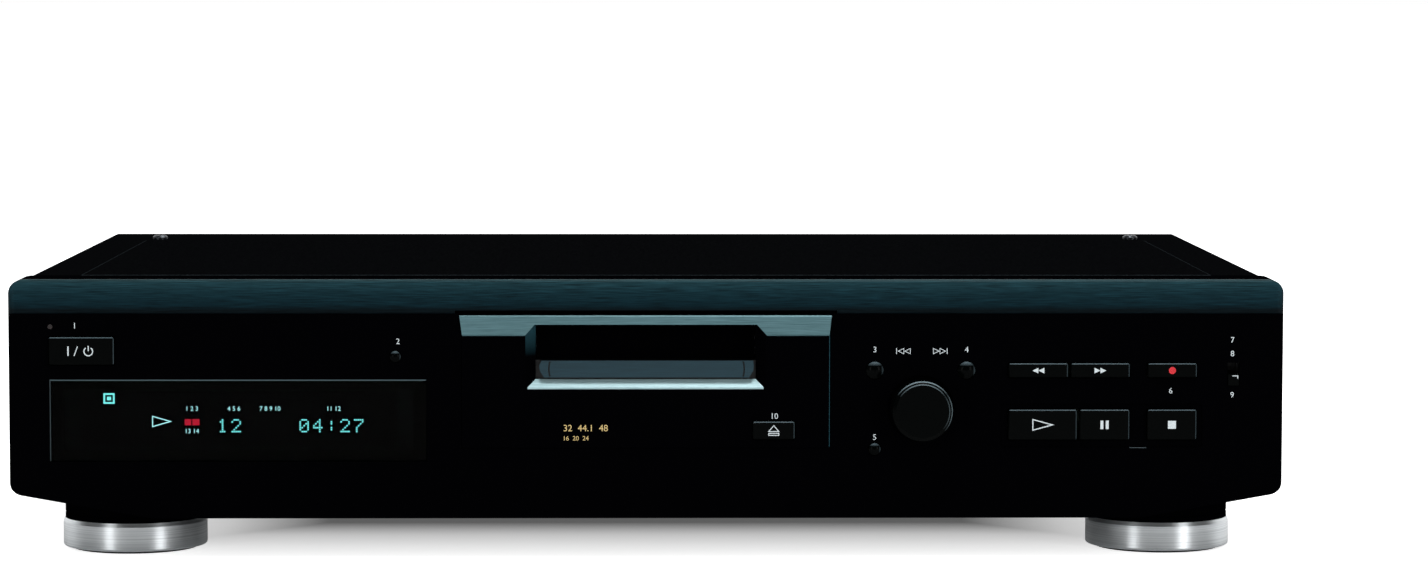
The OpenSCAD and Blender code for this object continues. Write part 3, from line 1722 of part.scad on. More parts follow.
// Small motors: spindle, sled feed and loading
module drive_motors() {
  color(silver)
    translate([slot_x, 0, 0]) {
      difference() {
        bar_z(spindle_motor_r, 0, spindle_y, [drive_floor[1], 60]);
        bar_z(motor_shaft_r + fit, 0, spindle_y, [drive_floor[1] + 0.5, 62]);
      }
      difference() {
        bar_x(screw_motor_r, screw_motor_x, screw_y, rod_z);
        bar_x(motor_shaft_r + fit, [screw_motor_x[0] + 2, screw_motor_x[1] + past], screw_y, rod_z);
      }
      difference() {
        bar_z(loading_motor_r, pinion_x, gear_y, [42.8, drive_floor[0]]);
        bar_z(motor_shaft_r + fit, pinion_x, gear_y, [45, drive_floor[0] + past]);
      }
    }
}

// Turntable with its centring hub, on the spindle
module spindle_table() {
  color("#2a2c2e")
    translate([slot_x, spindle_y, 0]) {
      bar_z(motor_shaft_r, 0, 0, [57, 60.4]);
      bar_z(9, 0, 0, [60.4, 61.4]);
      bar_z(4.6, 0, 0, [61.4, 62.4]);
      translate([0, 0, 62.4])
        cylinder(r1 = 2.4, r2 = 1.6, h = 1.4);
    }
}

// Screw that carries the sled, with the end of its motor's shaft
module lead_screw() {
  color(steel)
    translate([slot_x, 0, 0]) {
      bar_x(rod_r, [-3.9, wall_x[0] - 0.8], screw_y, rod_z);
      bar_x(motor_shaft_r, [screw_motor_x[0] + 4, -3.9], screw_y, rod_z);
    }
}

// Sled with the laser pickup, and the post behind the disc that carries the head arm
module pickup_sled() {
  post_x = [lens_x - 2, lens_x + 2];
  color("#3a3d40")
    translate([slot_x, 0, 0])
      difference() {
        union() {
          block(sled_x, sled_y, sled_z);
          bar_z(2.2, lens_x, spindle_y, [sled_z[1], 62.2]);
          block(post_x, [-37.4, sled_y[1]], [sled_z[1], arm_pin_z]);
          bar_x(2.2, post_x, arm_pin_y, arm_pin_z);
        }
        bar_z(motor_clear_r, 0, spindle_y, [sled_z[0] - past, sled_z[1] + past]);
        for (y = rod_y)
          bar_x(rod_r + fit, [sled_x[0] - past, sled_x[1] + past], y, rod_z);
        bar_x(rod_r + 0.1, [sled_x[0] - past, sled_x[1] + past], screw_y, rod_z);
        bar_x(arm_pin_r + fit, [post_x[0] - past, post_x[1] + past], arm_pin_y, arm_pin_z);
      }
}

// Forked arm that holds the recording head over the disc
module head_arm() {
  cheek = [2.3, 4];
  color("#c7c9cb")
    translate([slot_x + lens_x, 0, 0]) {
      bar_x(arm_pin_r, [-cheek[1], cheek[1]], arm_pin_y, arm_pin_z);
      for (s = [0, 1])
        mirror([s, 0, 0])
          block(cheek, [-40, arm_pin_y + 1.4], [arm_pin_z - 1.4, arm_pin_z + 1]);
      block([-cheek[1], cheek[1]], [spindle_y - 3, -39.4], [arm_pin_z - 0.4, arm_pin_z + 1]);
      block([-3, 3], [spindle_y - 3, spindle_y + 3], [arm_pin_z - 2, arm_pin_z - 0.4]);
    }
}

front_panel();
brushed_band();
slot_plate();
slot_bezel();
slot_sill();
slot_lip();
slot_flap();
display_window();
standby_lamp();
power_key();
scroll_key();
eject_key();
menu_key();
yes_key();
clear_key();
rewind_key();
forward_key();
record_key();
play_key();
pause_key();
stop_key();
dial_knob();
encoder_shaft();
encoder_plunger();
encoder_body();
input_lever();
input_switch();
tact_switches();
front_boards();
display_tube();
chassis_base();
rear_panel();
top_cover();
case_screws();
foot_rings();
foot_cores();
foot_pads();
main_board();
board_parts();
heat_sink();
transformer_core();
transformer_coil();
ribbon_cables();
jack_block();
jack_shells();
optical_sockets();
cord_gland();
drive_bracket();
drive_dampers();
drive_base();
disc_holder();
loading_slider();
loading_gear();
loading_pinion();
drive_motors();
spindle_table();
guide_rods();
pickup_sled();
lead_screw();
head_arm();
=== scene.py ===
# %% [markdown]
# # A minidisc deck, dressed around its CAD frame
#
# The deck is a low black hi-fi case: a painted steel box behind a moulded face, with a
# brushed strip along the top, a disc slot, a dark display and silver-ringed feet. Its
# shapes are already right in the CAD frame. This script gives them their finishes, adds
# the printing and the lit display, and sets up a plain white studio round them.

# %% Load the frame
import math

import bmesh
import bpy
import numpy as np
from mathutils import Matrix, Vector


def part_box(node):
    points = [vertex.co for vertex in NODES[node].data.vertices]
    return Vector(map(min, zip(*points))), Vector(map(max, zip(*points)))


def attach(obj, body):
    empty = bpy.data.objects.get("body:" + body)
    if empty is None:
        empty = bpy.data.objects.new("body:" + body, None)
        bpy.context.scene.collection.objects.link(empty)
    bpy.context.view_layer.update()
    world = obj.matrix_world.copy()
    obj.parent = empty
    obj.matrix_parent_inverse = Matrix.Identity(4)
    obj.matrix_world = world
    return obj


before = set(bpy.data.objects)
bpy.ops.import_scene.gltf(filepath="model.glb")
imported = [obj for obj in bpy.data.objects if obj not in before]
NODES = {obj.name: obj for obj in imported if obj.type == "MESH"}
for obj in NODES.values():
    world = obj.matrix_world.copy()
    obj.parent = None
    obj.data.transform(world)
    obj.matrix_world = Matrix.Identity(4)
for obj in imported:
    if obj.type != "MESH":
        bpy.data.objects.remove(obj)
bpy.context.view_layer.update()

MM = 0.001

# %% [markdown]
# ## Camera
#
# A catalogue photograph is taken from far off with a long lens, so that a wide object keeps
# straight edges. The camera's place and lens were solved from the deck's own corners in the
# picture. A camera looks along its own -Z, so it is turned a right angle up from that, less
# its tilt, then panned, and rolled by a hair.

# %% Camera
CAMERA_PLACE = Vector((-3.34, -1563.0, 196.2)) * MM
CAMERA_PAN = math.radians(1.030)
CAMERA_TILT = math.radians(4.145)
CAMERA_ROLL = math.radians(0.076)
CAMERA_LENS = 107.45
SENSOR_WIDTH = 36.0

camera_data = bpy.data.cameras.new("studio_camera")
camera_data.lens = CAMERA_LENS
camera_data.sensor_width = SENSOR_WIDTH
camera_data.clip_end = 100.0
camera = bpy.data.objects.new("studio_camera", camera_data)
bpy.context.scene.collection.objects.link(camera)
pan = Matrix.Rotation(-CAMERA_PAN, 4, "Z")
tilt = Matrix.Rotation(math.pi / 2 - CAMERA_TILT, 4, "X")
roll = Matrix.Rotation(CAMERA_ROLL, 4, "Z")
camera.matrix_world = Matrix.Translation(CAMERA_PLACE) @ pan @ tilt @ roll
bpy.context.scene.camera = camera
print("camera at", [round(v, 3) for v in CAMERA_PLACE], "lens", CAMERA_LENS)

# %% [markdown]
# ## Two helpers for every material
#
# Colours are written as sRGB hex, the way a picture editor shows them, but a shader works
# in linear light, so one function does that change. A second one adds a node: settings go
# in by name, and a socket takes either a value or another node's output.

# %% Colour and node helpers
def srgb(hex_code):
    """A hex colour as linear RGBA: each channel is undone with the sRGB transfer curve."""
    channels = np.array([int(hex_code[i:i + 2], 16) for i in (1, 3, 5)]) / 255.0
    linear = np.where(channels <= 0.04045, channels / 12.92, ((channels + 0.055) / 1.055) ** 2.4)
    return (*linear.tolist(), 1.0)


def add(tree, kind, sockets=None, **settings):
    """Add one shader node by its kind, such as TexNoise, and set its properties. Then give each
    socket a value, or link an output to it."""
    made = tree.nodes.new("ShaderNode" + kind)
    for name, value in settings.items():
        setattr(made, name, value)
    for name, value in (sockets or {}).items():
        if isinstance(value, bpy.types.NodeSocket):
            tree.links.new(value, made.inputs[name])
        else:
            made.inputs[name].default_value = value
    return made


print("helpers ready; mid grey #808080 is", round(srgb("#808080")[0], 3), "in linear light")

# %% [markdown]
# ## White surroundings
#
# The deck stood on white paper with nothing round it. The world is white for what the camera,
# mirrors and glass see behind the deck, and lights the deck only at a plain level. The half
# of the room that a viewer stands in is dark in reflections: that is what keeps a black
# front black. The standard view transform keeps colours as they are written.

# %% World
bpy.context.scene.view_settings.view_transform = "Standard"

WORLD_LIGHT = 0.62
ROOM_REFLECTION = 0.03

world = bpy.data.worlds.new("white_studio")
world.use_nodes = True
bpy.context.scene.world = world
sky = world.node_tree
sky.nodes.clear()
seen = add(sky, "LightPath")
direction = add(sky, "TexCoord")
axes = add(sky, "SeparateXYZ", {0: direction.outputs["Generated"]})
behind = add(sky, "MapRange", {
    "Value": axes.outputs["Y"], "From Min": 0.05, "From Max": 0.40,
    "To Min": ROOM_REFLECTION, "To Max": 1.0})
mirrored = add(sky, "Math", {
    0: seen.outputs["Is Glossy Ray"], 1: seen.outputs["Is Transmission Ray"]}, operation="MAXIMUM")
for_mirrors = add(sky, "MapRange", {
    "Value": mirrored.outputs[0], "To Min": WORLD_LIGHT, "To Max": behind.outputs["Result"]})
strength = add(sky, "MapRange", {
    "Value": seen.outputs["Is Camera Ray"], "To Min": for_mirrors.outputs["Result"],
    "To Max": 1.0})
background = add(sky, "Background", {
    "Color": (1.0, 1.0, 1.0, 1.0), "Strength": strength.outputs["Result"]})
add(sky, "OutputWorld", {"Surface": background.outputs[0]})
print("world: light", WORLD_LIGHT, "white to the camera")

# %% [markdown]
# ## Floor
#
# White paper, large enough that its far edge is lost above the picture. Paper alone would
# render a little grey, so the camera sees a share of its own white on top. That share is cut
# back with the distance in from the deck's outline: a painted shadow on the paper, over the
# real one, dark in the middle and gone just in front, as on the photographed paper.

# %% Floor
FLOOR_HALF = 30.0
# Painted shadow: the glow share by distance past the deck's outline, in metres.
SHADOW_STEPS = (
    (-0.100, 0.10), (-0.065, 0.52), (-0.035, 0.72), (0.000, 0.80), (0.030, 0.95), (0.250, 1.00))
OUTLINE_X = 0.215
OUTLINE_Y = 0.1325
MIRROR_GLOW = 0.08

floor_mesh = bpy.data.meshes.new("floor_paper")
corners = np.array([[-1, -1, 0], [1, -1, 0], [1, 1, 0], [-1, 1, 0]], float) * FLOOR_HALF
floor_mesh.from_pydata(corners.tolist(), [], [(0, 1, 2, 3)])
floor = bpy.data.objects.new("floor_paper", floor_mesh)
bpy.context.scene.collection.objects.link(floor)

paper = bpy.data.materials.new("white_paper_floor")
paper.use_nodes = True
sheet = paper.node_tree
sheet.nodes.clear()
seen = add(sheet, "LightPath")
mirror_share = add(sheet, "Math", {
    0: seen.outputs["Is Glossy Ray"], 1: MIRROR_GLOW}, operation="MULTIPLY")
direct = add(sheet, "Math", {
    0: seen.outputs["Is Camera Ray"], 1: mirror_share.outputs[0]}, operation="MAXIMUM")
direct = add(sheet, "Math", {
    0: direct.outputs[0], 1: seen.outputs["Is Transmission Ray"]}, operation="MAXIMUM")
spot = add(sheet, "SeparateXYZ", {0: add(sheet, "TexCoord").outputs["Object"]})
past_edge = []
for axis, half in (("X", OUTLINE_X), ("Y", OUTLINE_Y)):
    far = add(sheet, "Math", {0: spot.outputs[axis]}, operation="ABSOLUTE")
    past = add(sheet, "Math", {0: far.outputs[0], 1: half}, operation="SUBTRACT")
    past_edge.append(past.outputs[0])
outside = add(sheet, "Math", {0: past_edge[0], 1: past_edge[1]}, operation="MAXIMUM")
first, last = SHADOW_STEPS[0][0], SHADOW_STEPS[-1][0]
along = add(sheet, "MapRange", {"Value": outside.outputs[0], "From Min": first, "From Max": last})
# This ramp paints a shadow: it lowers the glow under and just round the deck.
white = add(sheet, "ValToRGB", {"Fac": along.outputs["Result"]})
for distance, light in SHADOW_STEPS[1:-1]:
    step = white.color_ramp.elements.new((distance - first) / (last - first))
    step.color = (light, light, light, 1.0)
darkest = SHADOW_STEPS[0][1]
white.color_ramp.elements[0].color = (darkest, darkest, darkest, 1.0)
share = add(sheet, "Math", {0: direct.outputs[0], 1: white.outputs["Color"]}, operation="MULTIPLY")
glow = add(sheet, "Emission", {"Strength": share.outputs[0]})
matt = add(sheet, "BsdfDiffuse", {"Color": srgb("#EBEBEB")})
both = add(sheet, "AddShader", {0: glow.outputs[0], 1: matt.outputs[0]})
add(sheet, "OutputMaterial", {"Surface": both.outputs[0]})
floor_mesh.materials.append(paper)
print("floor", 2 * FLOOR_HALF, "m across")

# %% [markdown]
# ## Lamps
#
# Three soft boxes do what a catalogue studio does. One overhead, just in front of the face,
# draws the bright top edges of the strip, the bezel and the keys. Two tall ones at the front
# corners put the upright streaks on the turned feet. The camera itself sees none of them.

# %% Lamps
def soft_box(name, place, aim, width, height, power):
    """A rectangular area lamp: it stands at place and its own -Z is turned towards aim."""
    lamp_data = bpy.data.lights.new(name, "AREA")
    lamp_data.shape = "RECTANGLE"
    lamp_data.size = width
    lamp_data.size_y = height
    lamp_data.energy = power
    lamp = bpy.data.objects.new(name, lamp_data)
    bpy.context.scene.collection.objects.link(lamp)
    towards = Vector(aim) - Vector(place)
    turn = towards.to_track_quat("-Z", "Y").to_matrix().to_4x4()
    lamp.matrix_world = Matrix.Translation(place) @ turn
    lamp.visible_camera = False
    print(name, "at", place, "power", power)


FACE_FOOT = (0.0, -0.13, 0.0)
FACE_MIDDLE = (0.0, -0.13, 0.05)
for box in (
        ("overhead_box", (0.20, -0.20, 1.50), FACE_FOOT, 1.8, 0.35, 17.0),
        ("left_box", (-1.15, -1.45, 0.45), FACE_MIDDLE, 0.35, 0.9, 5.0),
        ("right_box", (1.15, -1.35, 0.45), FACE_MIDDLE, 0.40, 0.9, 7.0)):
    soft_box(*box)

# %% [markdown]
# ## How a material is begun
#
# Every finish here is a Principled shader whose constant values sit on its own sockets. What
# varies over the surface is worked out from Object coordinates, which are metres on the deck
# itself, so a grain that is 0.4 mm on the real thing can be given as 0.4 mm. The last helper
# puts a finish on CAD nodes by filling their material slots: their meshes stay as they are.

# %% Material helpers
def per_mm(size):
    """The texture scale that makes one cell as wide as size, in mm: cells in each metre."""
    return 1000.0 / size


def begin(name, **sockets):
    """A material with its Principled shader. A keyword such as Coat_Weight=0.5 sets the socket
    whose name has spaces for its underscores."""
    material = bpy.data.materials.new(name)
    material.use_nodes = True
    tree = material.node_tree
    shader = tree.nodes["Principled BSDF"]
    for socket, value in sockets.items():
        shader.inputs[socket.replace("_", " ")].default_value = value
    place = add(tree, "TexCoord").outputs["Object"]
    return material, tree, shader, place


def dress(material, *names):
    """Fill every material slot of these CAD nodes."""
    for name in names:
        for slot in NODES[name].material_slots:
            slot.material = material
    print(material.name, "on", ", ".join(names))


# %% [markdown]
# ## Moulded ABS face
#
# The face is black ABS, moulded in a tool that was spark-eroded to a fine matt texture. The
# eye sees deep black that only greys a little where light rakes over it, and no mirror image.
# A bump of 0.4 mm pebbles gives that, and a slow change in roughness keeps a wide plain
# surface from looking printed.

# %% Textured black ABS
material, tree, shader, place = begin("spark_textured_black_abs", Specular_IOR_Level=0.0, IOR=1.53)
shader.inputs["Base Color"].default_value = srgb("#020203")
pebbles = add(tree, "TexNoise", {"Vector": place, "Scale": per_mm(0.4), "Detail": 2.0})
cloud = add(tree, "TexNoise", {"Vector": place, "Scale": per_mm(45.0), "Detail": 3.0})
dull = add(tree, "MapRange", {"Value": cloud.outputs["Fac"], "To Min": 0.74, "To Max": 0.90})
tree.links.new(dull.outputs["Result"], shader.inputs["Roughness"])
relief = add(tree, "Bump", {
    "Height": pebbles.outputs["Fac"], "Strength": 0.35, "Distance": 0.02 * MM})
tree.links.new(relief.outputs["Normal"], shader.inputs["Normal"])
FACE_BLACK = material
dress(FACE_BLACK, "front_panel", "foot_cores", "slot_flap")

# %% [markdown]
# ## Polished ABS keys
#
# Keys and the dial are the same plastic from a polished tool, worn smooth by fingers. Their
# flat fronts mirror the dark room and stay black. The upper and the right bevels are painted
# grey, a painted highlight that draws a thin line round each key and a crescent on each domed
# one. The surface's own normal tells a bevel from a wall or a front: it leans both forwards
# and to the side.

# %% Rubbed bevels
SIDE_LEAN = (0.38, 0.66)
FRONT_LEAN = (-0.30, -0.55)


def painted_bevel_highlight(tree, right_share):
    """How much painted highlight a place gets, 0 to 1: its normal leans forwards and also up, or
    to the right by a share of as much. Both leans are mapped to 0 to 1 and multiplied."""
    lean = add(tree, "SeparateXYZ", {0: add(tree, "NewGeometry").outputs["Normal"]})
    right = add(tree, "Math", {0: lean.outputs["X"], 1: right_share}, operation="MULTIPLY")
    side = add(tree, "Math", {0: lean.outputs["Z"], 1: right.outputs[0]}, operation="MAXIMUM")
    sideways = add(tree, "MapRange", {
        "Value": side.outputs[0], "From Min": SIDE_LEAN[0], "From Max": SIDE_LEAN[1]})
    forwards = add(tree, "MapRange", {
        "Value": lean.outputs["Y"], "From Min": FRONT_LEAN[0], "From Max": FRONT_LEAN[1]})
    highlight_share = add(tree, "Math", {
        0: sideways.outputs["Result"], 1: forwards.outputs["Result"]}, operation="MULTIPLY")
    return highlight_share.outputs[0]


print("a bevel leans", SIDE_LEAN, "to the side and", FRONT_LEAN, "forwards")

# %% [markdown]
# The keys take that painted highlight as a change from black to grey, and a faint ripple in their
# polish.

# %% Polished black ABS
KEY_PLAIN = "#020303"
RIGHT_SHARE = 0.72
material, tree, shader, place = begin("polished_black_abs", Specular_IOR_Level=0.02, IOR=1.53)
tone = add(tree, "ValToRGB", {"Fac": painted_bevel_highlight(tree, RIGHT_SHARE)})
tone.color_ramp.elements[0].color = srgb(KEY_PLAIN)
# The painted highlight colour of the upper and right bevels.
tone.color_ramp.elements[1].color = srgb("#4A585E")
tree.links.new(tone.outputs["Color"], shader.inputs["Base Color"])
skin = add(tree, "TexNoise", {"Vector": place, "Scale": per_mm(3.0), "Detail": 4.0})
dull = add(tree, "MapRange", {"Value": skin.outputs["Fac"], "To Min": 0.16, "To Max": 0.26})
tree.links.new(dull.outputs["Result"], shader.inputs["Roughness"])
ripple = add(tree, "TexNoise", {"Vector": place, "Scale": per_mm(1.2), "Detail": 1.0})
relief = add(tree, "Bump", {
    "Height": ripple.outputs["Fac"], "Strength": 0.10, "Distance": 0.01 * MM})
tree.links.new(relief.outputs["Normal"], shader.inputs["Normal"])
KEY_BLACK = material
KEYS = ["power", "scroll", "eject", "menu", "yes", "clear", "rewind", "forward", "record",
        "play", "pause", "stop"]
dress(KEY_BLACK, *[key + "_key" for key in KEYS], "input_lever")

# %% [markdown]
# The dial is the same plastic. Its two edges, where the wall meets the bevel and where the
# bevel meets the front, get a painted highlight on their upper and right parts, and the bevel
# between them stays dark. The distance from the dial's own axis tells them apart.

# %% Rubbed dial
EDGE_LINE = 0.20
BEVEL_WIDTH = 1.2
INNER_STRENGTH = 0.6
material, tree, shader, place = begin("black_abs_painted_rim_glints", Specular_IOR_Level=0.02, IOR=1.53)
dial_low, dial_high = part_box("dial_knob")
dial_middle = (dial_low + dial_high) / 2
outer_edge = (dial_high.x - dial_low.x) / 2
inner_edge = outer_edge - BEVEL_WIDTH * MM
from_axis = add(tree, "VectorMath", {
    0: place, 1: (dial_middle.x, 0.0, dial_middle.z)}, operation="SUBTRACT")
flat_offset = add(tree, "VectorMath", {
    0: from_axis.outputs["Vector"], 1: (1.0, 0.0, 1.0)}, operation="MULTIPLY")
reach = add(tree, "VectorMath", {0: flat_offset.outputs["Vector"]}, operation="LENGTH")
outer_line = add(tree, "MapRange", {
    "Value": reach.outputs["Value"], "From Min": outer_edge - 2 * EDGE_LINE * MM,
    "From Max": outer_edge - EDGE_LINE * MM})
inner_line = add(tree, "MapRange", {
    "Value": reach.outputs["Value"], "From Min": inner_edge + 2 * EDGE_LINE * MM,
    "From Max": inner_edge + EDGE_LINE * MM, "To Max": INNER_STRENGTH})
lines = add(tree, "Math", {
    0: outer_line.outputs["Result"], 1: inner_line.outputs["Result"]}, operation="MAXIMUM")
highlight_share = painted_bevel_highlight(tree, RIGHT_SHARE)
bright = add(tree, "Math", {0: lines.outputs[0], 1: highlight_share}, operation="MULTIPLY")
tone = add(tree, "ValToRGB", {"Fac": bright.outputs[0]})
tone.color_ramp.elements[0].color = srgb(KEY_PLAIN)
# The painted highlight colour of the two rim lines.
tone.color_ramp.elements[1].color = srgb("#75868C")
tree.links.new(tone.outputs["Color"], shader.inputs["Base Color"])
skin = add(tree, "TexNoise", {"Vector": place, "Scale": per_mm(2.5), "Detail": 4.0})
dull = add(tree, "MapRange", {"Value": skin.outputs["Fac"], "To Min": 0.20, "To Max": 0.34})
tree.links.new(dull.outputs["Result"], shader.inputs["Roughness"])
dress(material, "dial_knob")

# %% [markdown]
# The plate round the slot is the same plastic with a finer texture. Its left slanting face
# turns towards the light and gets a painted teal-grey highlight at the top, and its right
# edge, which stands proud of the face, gets a painted highlight as a hairline.

# %% Slot plate
RIM_X = 61.5
RIM_LINE = 0.22
RIM_SLACK = 0.01
SLOPE_TOP = 78.0
SLOPE_FADE = 9.0
material, tree, shader, place = begin(
    "fine_textured_black_abs", Specular_IOR_Level=0.0, IOR=1.53)
grain = add(tree, "TexNoise", {"Vector": place, "Scale": per_mm(0.3), "Detail": 2.0})
lean = add(tree, "SeparateXYZ", {0: add(tree, "NewGeometry").outputs["Normal"]})
spot = add(tree, "SeparateXYZ", {0: place})
slope = add(tree, "MapRange", {"Value": lean.outputs["X"], "From Min": 0.5, "From Max": 0.65})
fading = add(tree, "MapRange", {
    "Value": spot.outputs["Z"], "From Min": (SLOPE_TOP - SLOPE_FADE) * MM,
    "From Max": SLOPE_TOP * MM})
upper_slope = add(tree, "Math", {
    0: slope.outputs["Result"], 1: fading.outputs["Result"]}, operation="MULTIPLY")
near_rim = add(tree, "Math", {
    0: spot.outputs["X"], 1: (RIM_X - RIM_LINE) * MM}, operation="GREATER_THAN")
within_rim = add(tree, "Math", {
    0: spot.outputs["X"], 1: (RIM_X + RIM_SLACK) * MM}, operation="LESS_THAN")
hairline = add(tree, "Math", {
    0: near_rim.outputs[0], 1: within_rim.outputs[0]}, operation="MULTIPLY")
plate_glint = add(tree, "Math", {0: upper_slope.outputs[0], 1: hairline.outputs[0]}, operation="MAXIMUM")
speckled = add(tree, "MapRange", {
    "Value": grain.outputs["Fac"], "From Min": 0.3, "From Max": 0.7, "To Min": 0.5, "To Max": 1.0})
plate_glint = add(tree, "Math", {0: plate_glint.outputs[0], 1: speckled.outputs["Result"]}, operation="MULTIPLY")
tone = add(tree, "ValToRGB", {"Fac": plate_glint.outputs[0]})
tone.color_ramp.elements[0].color = srgb("#020203")
# The painted highlight colour on the upper slope and the rim hairline.
tone.color_ramp.elements[1].color = srgb("#24454E")
tree.links.new(tone.outputs["Color"], shader.inputs["Base Color"])
dull = add(tree, "MapRange", {"Value": grain.outputs["Fac"], "To Min": 0.60, "To Max": 0.80})
tree.links.new(dull.outputs["Result"], shader.inputs["Roughness"])
dress(material, "slot_plate")

# %% [markdown]
# ## Powder-coated steel
#
# Cover, base and back are folded steel with a baked matt black powder. Powder melts into
# tiny orange-peel hills about 0.8 mm apart, with speckle between them, so light breaks up on
# it. The top is so dull that even at a low angle it mirrors nothing, so the cover has no
# specular level at all. Where the sheet is bent or upright its colour is painted a little
# greyer, a painted light that draws the raised field and sets the sides off from the top. The
# base and the back have a paler powder with a slight sheen. One ramp holds all four tones: its
# lower half is for flat places, its upper half is the painted lighter tone for bent ones, and
# the orange peel moves the tone within each half.

# %% Powder coats
FLAT_LEAN = 0.985
BENT_LEAN = 0.93
TONE_PLACES = (0.15, 0.35, 0.65, 0.85)
for name, sheen, tones, nodes in (
        ("matt_black_powder_coat", 0.0,
         ("#020203", "#0A0B0C", "#14181A", "#262C2F"), ("top_cover",)),
        ("satin_black_powder_coat", 0.30,
         ("#0C0D0F", "#17191B", "#101214", "#1F2326"), ("chassis_base", "rear_panel"))):
    material, tree, shader, place = begin(name, Specular_IOR_Level=sheen, IOR=1.50)
    peel = add(tree, "TexNoise", {"Vector": place, "Scale": per_mm(0.8), "Detail": 3.0})
    speck = add(tree, "TexVoronoi", {"Vector": place, "Scale": per_mm(1.1)})
    lean = add(tree, "SeparateXYZ", {0: add(tree, "NewGeometry").outputs["Normal"]})
    # Painted light: bent and upright faces go to the greyer upper half of the ramp.
    upright_painted_light = add(tree, "MapRange", {
        "Value": lean.outputs["Z"], "From Min": FLAT_LEAN, "From Max": BENT_LEAN})
    summed = add(tree, "Math", {
        0: peel.outputs["Fac"], 1: upright_painted_light.outputs["Result"]}, operation="ADD")
    halved = add(tree, "MapRange", {"Value": summed.outputs[0], "From Max": 2.0})
    shade = add(tree, "ValToRGB", {"Fac": halved.outputs["Result"]})
    for position, tone in zip(TONE_PLACES[1:3], tones[1:3]):
        shade.color_ramp.elements.new(position).color = srgb(tone)
    for end in (0, -1):
        shade.color_ramp.elements[end].position = TONE_PLACES[end]
        shade.color_ramp.elements[end].color = srgb(tones[end])
    tree.links.new(shade.outputs["Color"], shader.inputs["Base Color"])
    dull = add(tree, "MapRange", {
        "Value": speck.outputs["Distance"], "To Min": 0.50, "To Max": 0.75})
    tree.links.new(dull.outputs["Result"], shader.inputs["Roughness"])
    relief = add(tree, "Bump", {
        "Height": peel.outputs["Fac"], "Strength": 0.5, "Distance": 0.04 * MM})
    tree.links.new(relief.outputs["Normal"], shader.inputs["Normal"])
    dress(material, *nodes)

# %% [markdown]
# ## Brushed and anodised aluminium
#
# The strip, the bar over the slot, the sill and the dark bar in the slot's mouth are
# aluminium, drawn under an abrasive belt along X. The belt leaves scratches some 0.1 mm wide.
# They would vanish at this distance, so they are drawn 0.26 mm wide and 10 mm long, as coarse
# as they need to be to show. One function holds the brushing, because all four share it.

# %% Brushing
SCRATCH_LENGTH = 10.0
SCRATCH_WIDTH = 0.26


def brush(tree, place, shader, low, high):
    """Scratches along X: noise that is stretched by the scratch's length over its width. They
    change the roughness between low and high. The return value is their strength, 0 to 1."""
    stretched = add(tree, "Mapping", {
        "Vector": place,
        "Scale": (per_mm(SCRATCH_LENGTH), per_mm(SCRATCH_WIDTH), per_mm(SCRATCH_WIDTH))})
    lines = add(tree, "TexNoise", {
        "Vector": stretched.outputs["Vector"], "Scale": 1.0, "Detail": 3.0, "Roughness": 0.6})
    clear = add(tree, "MapRange", {
        "Value": lines.outputs["Fac"], "From Min": 0.30, "From Max": 0.70})
    dull = add(tree, "MapRange", {"Value": clear.outputs["Result"], "To Min": low, "To Max": high})
    tree.links.new(dull.outputs["Result"], shader.inputs["Roughness"])
    relief = add(tree, "Bump", {
        "Height": clear.outputs["Result"], "Strength": 0.15, "Distance": 0.01 * MM})
    tree.links.new(relief.outputs["Normal"], shader.inputs["Normal"])
    return clear.outputs["Result"]


print("scratches", SCRATCH_LENGTH, "by", SCRATCH_WIDTH, "mm")

# %% [markdown]
# The strip is painted lightest near its top edge and falls to almost black at the bottom: a
# painted reflection, by a colour ramp over its height with the scratches laid over it, that
# stays the same under any light.

# %% Teal anodised strip
# Painted reflection: tones up the strip's height, lightest at the top.
BAND_PAINTED_FALL = ((0.10, "#030C10"), (0.25, "#061D24"), (0.60, "#0D262D"), (0.90, "#18343B"))
BAND_PAINTED_TOP = "#1F3539"
material, tree, shader, place = begin(
    "brushed_teal_anodised_aluminium", Metallic=0.12, Specular_IOR_Level=0.05)
scratch = brush(tree, place, shader, 0.34, 0.52)
band_low, band_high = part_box("brushed_band")
height = add(tree, "SeparateXYZ", {0: place})
rise = add(tree, "MapRange", {
    "Value": height.outputs["Z"], "From Min": band_low.z, "From Max": band_high.z})
painted_fall = add(tree, "ValToRGB", {"Fac": rise.outputs["Result"]})
for position, colour in BAND_PAINTED_FALL:
    painted_fall.color_ramp.elements.new(position).color = srgb(colour)
painted_fall.color_ramp.elements.remove(painted_fall.color_ramp.elements[0])
painted_fall.color_ramp.elements[-1].color = srgb(BAND_PAINTED_TOP)
streak = add(tree, "MapRange", {"Value": scratch, "To Min": 0.38, "To Max": 1.62})
tinted = add(tree, "VectorMath", {
    0: painted_fall.outputs["Color"], 1: streak.outputs["Result"]}, operation="MULTIPLY")
tree.links.new(tinted.outputs["Vector"], shader.inputs["Base Color"])
dress(material, "brushed_band")

# %% [markdown]
# The bar over the slot is dyed a light teal, and the sill keeps nearly the metal's own colour.

# %% Pale anodised aluminium
for name, dark, pale, nodes in (
        ("brushed_pale_anodised_aluminium", "#3F6065", "#5B7F86", ("slot_bezel",)),
        ("bright_anodised_aluminium", "#8BABB0", "#B4D0D4", ("slot_sill",))):
    material, tree, shader, place = begin(name, Metallic=0.45)
    scratch = brush(tree, place, shader, 0.28, 0.45)
    tone = add(tree, "ValToRGB", {"Fac": scratch})
    tone.color_ramp.elements[0].color = srgb(dark)
    tone.color_ramp.elements[1].color = srgb(pale)
    tree.links.new(tone.outputs["Color"], shader.inputs["Base Color"])
    dress(material, *nodes)
